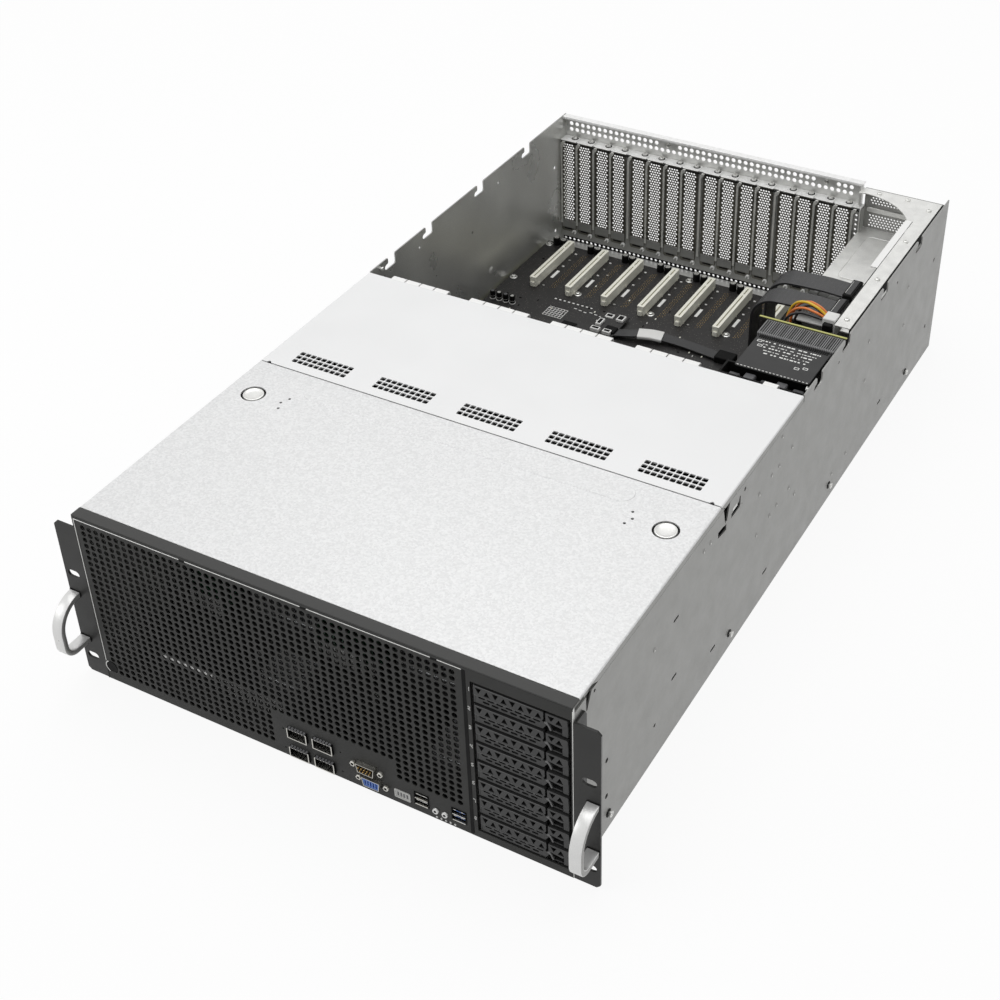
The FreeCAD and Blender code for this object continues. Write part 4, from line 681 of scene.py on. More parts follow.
case = Piece()
for side in (-1, 1):
    # The far face of each wall takes the lighter inner zinc: painted light inside the bay.
    case.sheet(wall_outline(), wall_holes(), on_x(side * HALF, -side), METAL, inside=2)
    low, high = sorted((side * (INNER - STRIP), side * (HALF - STRIP)))
    case.block((low, high), (FRONT + METAL, WALL_STEP), (SEAM - STRIP, COVER_UNDER), 0, 0.3)
    case.block((side * (INNER - STRIP), side * (HALF - 0.4)), (WALL_STEP - METAL, WALL_STEP - 0.1),
               (SEAM - 1, TOP - 0.4), 0, 0.3)
    case.block((side * (INNER - STRIP), side * (INNER - 0.1)), (FRONT + METAL, -382),
               (SEAM - 9, SEAM - 0.4), 0, 0.3)
    # Deep black blocks just inside the wall, behind its holes and slots: painted shade seen through them.
    case.block((side * (INNER - 0.1), side * (INNER - 3)), (-168, -116), (144, 145.2), 3, 0.2)
    case.block((side * (INNER - 2), side * (INNER - 3)), (-168, -116), (142, 166), 3, 0.2)
    for y, z, reach, r in WALL_SLOTS + [(y, z, 1, r) for y, z, r in WALL_HOLES if y < 0]:
        case.block((side * (INNER - 0.1), side * (INNER - 1.2)), (y - reach - 3, y + reach + 3),
                   (z - r - 1, min(z + r + 1, SEAM - 1)), 3, 0.1)
    for y, z in DIMPLES:
        case.lathe([(0, -0.3), (2.3, -0.3), (2.2, 0.15), (1.5, 0.55), (0.8, 0.3), (0, 0.25)],
                   at(side * HALF, y, z, "x", side), 14)
        # A bright block at the lower side of each dimple: painted highlight.
        case.block((side * (HALF - 0.3), side * (HALF + 0.5)), about(y, 0.8), (z - 2.1, z - 0.5), 1, 0.2)
    case.block((side * (HALF - 0.8), side * (HALF + 0.25)), (-135, -126), (153.8, 156.6), 1, 0.3)
    case.lathe([(0, 3.6), (2.2, 3.4), (2.4, 2.6), (1.4, 2.4), (1.4, -0.2), (0, -0.2)],
               at(side * INNER, 27.7, 170, "x", -side), 14, 1)
    case.lathe([(0, 0.7), (3.2, 0.6), (4.4, -0.1), (0, -0.1)], at(side * INNER, 228, 63, "x", -side), 18, 1)
ribs = [((-170, -330), (-60, -330), 9), ((60, -330), (170, -330), 9), ((-170, 330), (-60, 330), 9),
        ((60, 330), (170, 330), 9), ((-170, -10), (-60, -10), 9), ((60, -10), (170, -10), 9)]


def floor_lift(u, v):
    for (x0, y), (x1, _), radius in ribs:
        nearest = min(max(u, x0), x1)
        if math.hypot(u - nearest, v - y) < radius - 1.5:
            return -1.0
    return 0.0


floor_holes = [ring(side * x, y, 2.6, 12) for side in (-1, 1) for x in (30, 196)
               for y in (-360, -200, 150, 370)]
rib_lines = [line for start, end, radius in ribs
             for reach in (radius, radius - 1.6) for line in loop_lines(stadium(start, end, reach))]
case.sheet(rect(-HALF + METAL, HALF - METAL, FRONT + METAL, REAR), floor_holes, on_z(0, 1), METAL,
           lines=rib_lines, lift=floor_lift)
case.build("case_tray", BODY, [ZINC, BRIGHT_ZINC_AND_HIGHLIGHT, INNER_ZINC_PAINTED_LIGHT, DARK], ["chassis_base"], "zinc_steel")

# Rear wall: slot wall, ledge, top strip with its lip, and the grille over the supplies
BAY = 134.0
SLOT_WALL = 387.0
SLOT_FACE = SLOT_WALL - METAL
REAR_FACE = REAR - METAL
LEDGE = 149.0
CARD = 38.0
DECK = 24.0
BRACKETS = 16
CARD_SLOTS = 8
LOW_HOLES = 61
LOW_HOLE_Z = 26.3


def on_card(rise):
    """From just inside the expansion board's top to rise above it."""
    return (CARD - 0.1, CARD + rise)


def low_hole_x(index):
    return -213 + 5.48 * index


def bracket_x(index):
    return -208.2 + 20.32 * index + 1.4 * ((index + 2) // 4) + 4.1 * (index // 4)


def slot_x(index):
    return -183.5 + 43.4 * index


wall = Piece()
holes = [rect(bracket_x(i) - 7.4, bracket_x(i) + 7.4, 46, 147, 0.8) for i in range(BRACKETS)]
holes += [ring(low_hole_x(k), LOW_HOLE_Z, 1.55, 10) for k in range(LOW_HOLES)]
holes += [rect(bracket_x(i) - 6, bracket_x(i) + 3.5, 37.6, 39.2, 0.4) for i in range(BRACKETS)]
holes += [ring(129.6, 44 + 5.4 * k, 1.35, 8) for k in range(19)]
wall.sheet(rect(-INNER, BAY, METAL, LEDGE), holes, on_y(SLOT_FACE), METAL)
# A thin deep black band round the low row of holes, just above the deck: painted shade at the foot of the
# wall.
low_row = [ring(low_hole_x(k), LOW_HOLE_Z, 1.6, 10) for k in range(LOW_HOLES)]
wall.sheet(rect(-215.6, BAY - 14.5, 24.1, 28.7), low_row, on_y(SLOT_FACE - 0.3), 0.25, 3)
for index in range(BRACKETS):
    x = bracket_x(index)
    # A deep black strip over each small slot: painted shade in it.
    wall.block((x - 5.5, x + 4.2), (SLOT_FACE - 1.5, SLOT_FACE - 1.1), (38.6, 40.0), 3, 0.1)
    # Each hook takes the lighter ledge zinc: painted light.
    wall.slab(arc(x + 7.2, 36.6, 2.5, -60, 200, 8) + arc(x + 7.2, 36.6, 1.3, 200, -60, 8),
              on_y(SLOT_FACE - 3.4), 2.6, 4, 0.15)
# The ledge takes the lighter ledge zinc: painted light on it.
wall.block((-INNER, BAY), (SLOT_FACE, REAR_FACE), (LEDGE - METAL, LEDGE), 4, 0.25)
# A deep black strip just under the ledge: painted shadow under it.
wall.block((-INNER + 1, BAY - 1), (SLOT_FACE - 1.4, SLOT_FACE - 0.2), (LEDGE - 2.4, LEDGE - 1.3), 3, 0.1)
strip_holes = []
for row, z in enumerate((164.6, 157.7)):
    for column in range(48):
        x = -211.6 + 7.0 * column
        if row == 0 and (abs(x + 92.4) < 12 or abs(x - 90.3) < 12):
            continue
        strip_holes.append(ring(x, z, 2.4, 12))
strip_holes += [ring(x, 164.8, 1.9, 12) for x in (-92.4, 90.3)]
wall.sheet(rect(-INNER, BAY - 4, LEDGE - METAL, TOP - 0.4), strip_holes, on_y(REAR_FACE), METAL, 1)
# The top lip takes the lighter ledge zinc: painted light.
wall.block((-INNER, BAY - 2), (REAR - 8, REAR), (TOP - METAL, TOP), 4, 0.35)
wall.block((-INNER, BAY - 2), (REAR - 8, REAR - 6.8), (TOP - 3.2, TOP - METAL), 4, 0.3)
wall.block((BAY - 5.4, BAY - 3.6), (REAR - 9, REAR), (LEDGE, TOP - METAL), 1, 0.3)
wall.block((BAY - METAL, BAY), (SLOT_WALL - 3, REAR_FACE), (METAL, LEDGE + 0.4), 1, 0.25)
bars = [(bracket_x(i) + bracket_x(i + 1)) / 2 for i in range(BRACKETS - 1)]
bars += [-218 + 0.9, bracket_x(BRACKETS - 1) + 10.6]
for x in bars:
    wide = 1.15
    shape = [(x - wide, 45.5), (x + wide, 45.5), (x + wide, 140)]
    shape += [(x + wide + 2.6 - 2.6 * math.cos(a), 140 + 4.5 * math.sin(a)) for a in (0.4, 0.8, 1.2, 1.5)]
    shape += [(x + wide + 3.6, 148.4), (x - wide + 2.8, 148.4), (x - wide + 0.6, 145.8), (x - wide, 142)]
    wall.slab(shape, on_y(SLOT_FACE, -1), 1.7, 2, 0.3)
bay_holes = []
for row in range(14):
    z = 126.2 + 2.9 * row
    if 140 < z < 149.5:
        continue
    for column in range(24):
        x = 140 + 3.3 * column + (1.65 if row % 2 else 0)
        if x < 215:
            bay_holes.append(ring(x, z, 1.1, 8))
wall.sheet(rect(BAY - METAL, INNER, 123, 168), bay_holes, on_y(REAR_FACE), METAL)
wall.slab(rect(136, 217, 142, 147.5, 2.6), on_y(REAR_FACE, -1), 1.5, 1, 0.5)
wall.build("rear_wall", BODY, [ZINC, BRIGHT_ZINC_AND_HIGHLIGHT, BAR, DARK, LEDGE_ZINC_PAINTED_LIGHT], ["rear_panel"], "zinc_steel")

# Slot covers with their perforated faces
covers = Piece()
for index in range(BRACKETS):
    x = bracket_x(index)
    holes = []
    for row in range(33):
        for column in range(5 if row % 2 else 4):
            u = x + (column - (2 if row % 2 else 1.5)) * 2.95
            holes.append(ring(u, 52 + 2.9 * row, 1.15, 8))
    side = 9.2
    outline = [(x - side + 1.5, 36), (x + 4.5, 36), (x + 4.5, 37.6), (x + side, 40), (x + side, LEDGE),
               (x - side, LEDGE), (x - side, 38)]
    covers.sheet(outline, holes, on_y(SLOT_FACE - 0.8), 0.8)
    tab = [(x - side, SLOT_FACE - 0.8), (x + side, SLOT_FACE - 0.8), (x + side, 396.2), (x + 6.4, 398.2),
           (x + 5.8, 394.6), (x + 3.9, 393.2), (x + 2.0, 394.6), (x + 1.4, 398.2), (x - side, 398.2)]
    covers.block(about(x, 8.4), (SLOT_FACE - 0.98, SLOT_FACE - 0.7), (40.6, 50.2), 2, 0.1)
    # The tabs lying on the ledge take the lighter ledge zinc: painted light.
    covers.slab(tab, on_z(LEDGE + 0.8), 0.8, 1, 0.2)
    covers.slab(stadium((x - 5.5, 391.5), (x - 2.2, 391.5), 1.6, 4), on_z(LEDGE + 1.3), 0.6, 1, 0.2)
covers.build("slot_cover_plates", BODY, [BRACKET, LEDGE_ZINC_PAINTED_LIGHT, ZINC], ["slot_covers"], "zinc_steel")

# Fasteners
BOARD_SCREWS = [(-212, 263.5), (-132, 263.5), (-44.6, 263.5), (42.7, 263.5), (-212, 345), (-37.3, 345),
                (-205, 62), (-31, 62), (102, 62)]
fasteners = Piece()
for index in range(BRACKETS):
    u = bracket_x(index) + 3.9
    # A deep black disc under each bracket screw: painted shadow round its head.
    fasteners.lathe([(0, 0), (3.9, 0), (3.8, 0.35), (0, 0.35)], at(u, 393.4, LEDGE + 0.75), 16, 1)
    screw(fasteners, u, 393.4, LEDGE + 1.2, radius=2.9, rise=2.2)
for x, y in BOARD_SCREWS:
    fasteners.lathe([(0, -0.3), (4.2, -0.3), (4.2, 0.4), (3.9, 0.6), (0, 0.6)], at(x, y, CARD), 20)
    screw(fasteners, x, y, CARD + 0.9, radius=2.8, rise=1.7)
for side in (-1, 1):
    for y in STUDS:
        # A deep black ring round each stud's foot: painted shade.
        fasteners.lathe([(0, -0.4), (3.7, -0.4), (3.7, 0.3), (1.8, 0.5), (0, 0.5)],
                        at(side * HALF, y, 16, "x", side), 20, 1)
        fasteners.lathe([(0, 0.3), (1.8, 0.4), (1.8, 1.7), (2.9, 1.8), (2.8, 2.9), (1.2, 3.0), (1.0, 2.2),
                         (0, 2.1)], at(side * HALF, y, 16, "x", side), 20)
for x in (-92.4, 90.3):
    screw(fasteners, x, REAR_FACE, 164.8, "y", -1, 3.0, 1.6)
fasteners.build("screws_and_studs", BODY, [STEEL, DARK], ["fasteners"], "bright_steel")

# Drive bay sizes, used by the frame, the trays, the cage and the backplane
TRAYS = 8
TRAY_TOP = 160.4
TRAY_RISE = 18.3
TRAY_PITCH = 19.13


def tray_foot(index):
    return TRAY_TOP - TRAY_RISE - index * TRAY_PITCH


# Front frame and perforated front panel
GRILLE_RIGHT = 133.4
LIP_FOOT = 171.0
frame_piece = Piece()
frame_piece.block((-HALF, HALF), (FRONT - 0.3, -390.15), (COVER_UNDER, TOP), 1, 0.35)
frame_piece.block((-HALF, HALF), (FRONT - 0.3, FRONT + METAL), (LIP_FOOT, COVER_UNDER), 0, 0.15)
# Bright strips along the top edge of the grille: painted highlight on that edge. They break at three notches,
# filled with deep black blocks: painted shade in the notches.
shaded_notches = [-112, -1, 110]
starts = [-INNER + 0.8] + [x + 2.8 for x in shaded_notches]
for start, end in zip(starts, [x - 2.8 for x in shaded_notches] + [GRILLE_RIGHT - 0.8]):
    frame_piece.block((start, end), (FRONT - 0.4, FRONT + 0.3), (LIP_FOOT - 0.75, LIP_FOOT), 2, 0.1)
for x in shaded_notches:
    frame_piece.block(about(x, 2.8), (FRONT - 0.4, FRONT + 0.3), (LIP_FOOT - 2.2, LIP_FOOT + 0.2), 4, 0.2)
frame_piece.slab(ring(-213.2, 15, 5.6, 20), on_y(FRONT - 0.45), 0.8, 4, 0.2)
# A bright arc round the lobe: painted highlight on the edge round it.
frame_piece.slab(arc(-213.2, 15, 6.5, 115, 245, 8) + arc(-213.2, 15, 5.7, 245, 115, 8), on_y(FRONT - 0.5),
                 0.8, 2)
frame_piece.block((-HALF, -INNER), (FRONT - 0.3, FRONT + METAL), (0, LIP_FOOT), 0, 0.15)
# A bright strip down the left edge of the grille: painted highlight.
frame_piece.block((-INNER + 0.1, -INNER + 0.75), (FRONT - 0.35, FRONT + 0.3), (20, LIP_FOOT - 0.2), 2, 0.1)
frame_piece.block(run(GRILLE_RIGHT, METAL), (FRONT, -390.15), (METAL, COVER_UNDER), 0, 0.2)
surround = rect(GRILLE_RIGHT, HALF - 0.2, 0, LIP_FOOT)
frame_piece.sheet(surround, [rect(138.8, 218.4, 7.4, 162, 0.8)], on_y(FRONT), METAL)
frame_piece.block((136.9, 138.9), (FRONT + METAL, FRONT + METAL + 0.9), (7, 162.4), 4, 0.1)
frame_piece.block((GRILLE_RIGHT - 1.0, GRILLE_RIGHT + 2.0), (FRONT - 0.25, FRONT + 0.2), (2, LIP_FOOT), 4,
                  0.1)
# A bright strip down the right edge, beside the ear: painted highlight.
frame_piece.block((HALF - 0.55, HALF + 0.02), (FRONT - 0.2, FRONT + 2.2), (0.6, TOP - 1.5), 2, 0.12)
digit_marks = {1: "bc", 2: "abged", 3: "abgcd", 4: "fgbc", 5: "afgcd", 6: "afgedc", 7: "abc", 8: "abcdefg"}
segments = {"a": (0, 2, 1, 2), "b": (1, 1, 1, 2), "c": (1, 0, 1, 1), "d": (0, 0, 1, 0), "e": (0, 0, 0, 1),
            "f": (0, 1, 0, 2), "g": (0, 1, 1, 1)}
for number, marks in digit_marks.items():
    foot = tray_foot(number - 1) + 10.5
    for mark in marks:
        u0, v0, u1, v1 = [1.5 * c for c in segments[mark]]
        frame_piece.block((136.4 + u0 - 0.26, 136.4 + u1 + 0.26), (FRONT - 0.12, FRONT + 0.2),
                          (foot + v0 - 0.3, foot + v1 + 0.3), 3)
frame_piece.build("front_bezel", BODY, [BLACK, BEZEL, BRIGHT_ZINC_AND_HIGHLIGHT, SILK, DARK], ["front_frame"], "black_steel")

CAGES = [(-32.6 + 24 * c, 2.6 + 20.6 * r) for c in range(2) for r in range(2)]
SERIAL = (41.2, 24.8)
VGA = (45.5, 12.0)
POWER_X = 101.6
RESET_X = 109.8
BUTTON_Z = 8.8
JACK_REACH = 12.5
panel_holes = [rect(x - 0.2, x + 18.8, z - 0.2, z + 10.8) for x, z in CAGES]
for x, z in (SERIAL, VGA):
    panel_holes.append([(x - 8.9, z + 4.6), (x - 7.4, z - 4.6), (x + 7.4, z - 4.6), (x + 8.9, z + 4.6)])
    panel_holes += [ring(x + side * JACK_REACH, z, 2.0, 10) for side in (-1, 1)]
panel_holes += [rect(64.6, 79.4, 5.8, 15), rect(82.6, 96, 7.8, 21.2), rect(115.8, 129.2, 7.8, 21.2),
                ring(POWER_X, BUTTON_Z, 3.0, 16), ring(RESET_X, BUTTON_Z, 3.0, 16)]
panel_holes += [ring(102.2 + 4.05 * k, 2.3, 1.0, 8) for k in range(5)]
panel_holes += [ring(x, z, 0.8, 8) for x in (-37.5, 16.5) for z in (8, 29)]
AIR_PITCH = (6.7, 6.1)
AIR_COUNT = (51, 27)
AIR_RADIUS = 2.5
for column in range(AIR_COUNT[0]):
    x = -210.6 + AIR_PITCH[0] * column
    foot = 6 if x < -49 else 46.5 if x < 68 else 27
    for row in range(AIR_COUNT[1]):
        z = 164.2 - AIR_PITCH[1] * row
        if z > foot:
            panel_holes.append(ring(x, z, AIR_RADIUS, 10, 0.31))
panel = Piece()
panel.sheet(rect(-INNER + 0.1, GRILLE_RIGHT - 0.1, 0.1, LIP_FOOT - 0.2), panel_holes, on_y(FRONT), METAL)
panel.block((-INNER + 0.1, GRILLE_RIGHT - 0.1), (FRONT + METAL, FRONT + 9), (0.1, METAL), 0, 0.2)
panel.block((-154, -104), (FRONT + METAL + 0.1, FRONT + METAL + 0.9), (50.5, 54.5), 1, 0.2)
panel.build("perforated_panel", BODY, [BLACK, SILK], ["front_grille"], "black_steel")

# Ears with rack slots and a taller flange against the case
for side, name in ((-1, "left"), (1, "right")):
    ear = Piece()
    tip = HALF + 21.3
    outline = [(side * HALF, 0.5), (side * (tip - 3), 0.5), (side * tip, 3.5), (side * tip, 157.5),
               (side * (tip - 3), 160.5), (side * HALF, 160.5)]
    holes = [stadium((side * 232.55 - 2.5, z), (side * 232.55 + 2.5, z), 3.5, 6) for z in (19.5, 108.4)]
    ear.sheet(outline[::side], holes, on_y(FRONT), 2.0)
    flange = [(FRONT + 0.2, 0.6), (-383.5, 0.6), (-383.5, 156), (-386, 160.4), (FRONT + 0.2, 160.4)]
    ear.slab(flange, on_x(side * (HALF + 0.05), side), 1.95, 0, 0.3)
    # A thin strip of the highlight grey down the ear's outer edge: painted highlight.
    ear.slab([(tip - 0.1, 4), (tip + 0.12, 4), (tip + 0.12, 157), (tip - 0.1, 157)] if side > 0
             else [(-tip - 0.12, 4), (-tip + 0.1, 4), (-tip + 0.1, 157), (-tip - 0.12, 157)],
             on_y(FRONT + 0.2), 1.6, 1)
    ear.build("rack_ear_plate_" + name, BODY, [EAR_BLACK, EDGE_HIGHLIGHT], ["rack_ear_" + name], "black_steel")
    handle = Piece()
    x = side * 235.7
    path = [(x, FRONT + 0.2, 87.2)] + [(x, y, z) for y, z in
                                       arc(FRONT, 61.5, 25.7, 90, 180, 14)]
    path += [(x, y, z) for y, z in arc(FRONT - 15, 49, 10.7, 180, 270, 10)] + [(x, FRONT + 0.2, 38.3)]
    section = centred(0, 0, 2.4, 4.9, 0.45, 2)
    handle.sweep(path, section, 0, up=(1, 0, 0))
    # Faces square to X, the handle's flat sides, take the darker alloy: painted shade.
    for number, face in enumerate(handle.faces):
        across = [handle.points[k][0] for k in face]
        if max(across) - min(across) < 0.01:
            handle.kinds[number] = 2
    for z in (87.2, 38.3):
        handle.slab(centred(x, z, 5.6, 3.1, 1.2), on_y(FRONT - 0.7), 0.8, 1, 0.2)
    handle.build("handle_bow_" + name, BODY, [ALLOY, DARK, ALLOY_SHADED_SIDE], ["handle_" + name], "silver_alloy")

# Ports of the front panel
ports = Piece()
for x, z in CAGES:
    ports.sheet(rect(x, x + 18.6, z, z + 10.6, 0.6), [rect(x + 0.9, x + 17.7, z + 0.9, z + 9.7, 0.4)],
                on_y(FRONT - 2.2), 50, wall=1)
    ports.block((x + 0.5, x + 18.1), (FRONT + 30, FRONT + 32), (z + 0.5, z + 10.1), 1)
    ports.block((x + 3, x + 15.6), (FRONT + 6, FRONT + 30), (z + 2.2, z + 4.6), 1, 0.3)
    for k in range(6):
        u = x + 1.2 + 2.8 * k
        # The upper fingers take the darker chip grey rather than the shell's steel: painted shade.
        ports.slab([(FRONT - 2.6, z + 10.6), (FRONT - 0.2, z + 11.6), (FRONT + 3, z + 10.9),
                    (FRONT + 3, z + 10.5), (FRONT - 2.6, z + 10.3)], on_x(u), 2.1, 2, 0.1)
        ports.slab([(FRONT - 2.5, z + 0.9), (FRONT - 0.5, z + 0.5), (FRONT + 4, z + 1.5),
                    (FRONT + 4, z + 1.9), (FRONT - 2.5, z + 1.3)], on_x(u), 2.1, 0, 0.1)
ports.build("network_cages", BODY, [SHELL, DARK, CHIP_GREY_AND_SHADE], ["network_ports"], "bright_steel")


def shell_outline(x, z, grow):
    return [(x - 7.9 - grow, z + 4 + grow), (x - 6.7 - grow, z - 4 - grow), (x + 6.7 + grow, z - 4 - grow),
            (x + 7.9 + grow, z + 4 + grow)]


for (x, z), node, kind in ((SERIAL, "serial_port", "male"), (VGA, "vga_port", "female")):
    plug = Piece()
    reach = 4.2
    plug.sheet(shell_outline(x, z, 0.35), [shell_outline(x, z, -0.15)], on_y(FRONT - reach), reach + 4)
    plug.sheet(centred(x, z, 15.4, 5.6, 1.2), [ring(x + s * JACK_REACH, z, 1.4, 10) for s in (-1, 1)],
               on_y(FRONT + METAL + 0.1), 0.8)
    plug.block(about(x, 14), (FRONT + 2.2, FRONT + 14), about(z, 5.4), 1, 0.5)
    if kind == "male":
        plug.block(about(x, 7), (FRONT - 1.0, FRONT + 2.4), about(z, 3.6), 1, 0.3)
        for count, v, pitch in [(5, 1.5, 2.76), (4, -1.5, 2.76)]:
            for k in range(count):
                plug.lathe([(0, -4.2), (0.35, -4.0), (0.5, -3.4), (0.5, 0), (0, 0)],
                           at(x + (k - (count - 1) / 2) * pitch, FRONT - 1.0, z + v, "y"), 10, 2)
    else:
        holes = [centred(x + 2.5 * k, z, 0.55, 2.7, 0.4, 2) for k in range(-2, 3)]
        plug.sheet(shell_outline(x, z, -0.3), holes, on_y(FRONT - 3.9), 5.8, 3, wall=3)
    for side in (-1, 1):
        plug.lathe([(1.45, -2.6), (2.4, -2.6), (2.75, -2.1), (2.75, -0.1), (1.45, -0.1)],
                   at(x + side * JACK_REACH, FRONT, z, "y"), 6, 0, False)
        plug.lathe([(0, -1.9), (1.5, -1.9), (1.5, 1.0), (0, 1.0)], at(x + side * JACK_REACH, FRONT, z, "y"),
                   10, 1)
    plug.build(node + "_plug", BODY, [SHELL, DARK, GOLD, BLUE], [node],
               "bright_steel" if kind == "male" else "port_blue")

sockets = Piece()
for left, tongue in ((82.8, 2), (116, 3)):
    for z in (8.0, 14.4):
        sockets.sheet(rect(left, left + 13, z, z + 6.3, 0.4),
                      [rect(left + 0.6, left + 12.4, z + 0.6, z + 5.7, 0.3)], on_y(FRONT - 0.6), 16, 1)
        sockets.block((left + 0.9, left + 12.2), (FRONT - 0.85, FRONT + 1), (z + 0.15, z + 0.95), 0, 0.15)
        for k in (0, 1):
            sockets.block((left + 2.2 + 6.4 * k, left + 4.4 + 6.4 * k), (FRONT - 0.75, FRONT),
                          (z + 5.5, z + 6.0), 0, 0.1)
        sockets.block((left + 0.4, left + 12.6), (FRONT + 12, FRONT + 13), (z + 0.4, z + 5.9), 1)
        sockets.block((left + 1.6, left + 11.4), (FRONT + 0.6, FRONT + 12.5), (z + 3.2, z + 4.9), tongue,
                      0.2)
        for k in range(4):
            sockets.block((left + 2.6 + 2.1 * k, left + 3.6 + 2.1 * k), (FRONT + 1.2, FRONT + 8),
                          (z + 3.0, z + 3.3), 4)
sockets.build("usb_sockets", BODY, [SHELL, DARK, WHITE, BLUE, GOLD], ["usb_ports"], "bright_steel")

display = Piece()
display.sheet(rect(64.8, 79.2, 6, 14.8, 0.8), [rect(66.0, 78.0, 7.2, 13.6, 0.4)], on_y(FRONT - 0.5), 1.4, 0)
display.block((65.2, 78.8), (FRONT - 0.1, FRONT + 10), (6.4, 14.4), 0, 0.3)
for k in range(4):
    display.block((67.2 + 2.7 * k, 68.9 + 2.7 * k), (FRONT - 0.25, FRONT), (8.3, 12.5), 1, 0.1)
for k in range(5):
    display.lathe([(0, -0.5), (0.6, -0.4), (0.95, 0), (0.95, 4), (0, 4)],
                  at(102.2 + 4.05 * k, FRONT, 2.3, "y"), 12, 2)
display.build("status_window", BODY, [GLOW, SOCKET, SILK], ["status_display"], "display_grey")
for name, x in (("power_button", POWER_X), ("reset_button", RESET_X)):
    cap = Piece()
    cap.lathe([(0, -1.2), (1.1, -1.25), (1.9, -1.5), (2.3, -1.4), (2.6, -1.0), (2.6, 9), (0, 9)],
              at(x, FRONT, BUTTON_Z, "y"), 24)
    cap.lathe([(0, -1.34), (1.2, -1.36), (1.2, -1.1), (0, -1.1)], at(x, FRONT, BUTTON_Z, "y"), 16, 1)
    cap.build(name + "_cap", name, [ALLOY, DARK], [name], "silver_alloy")

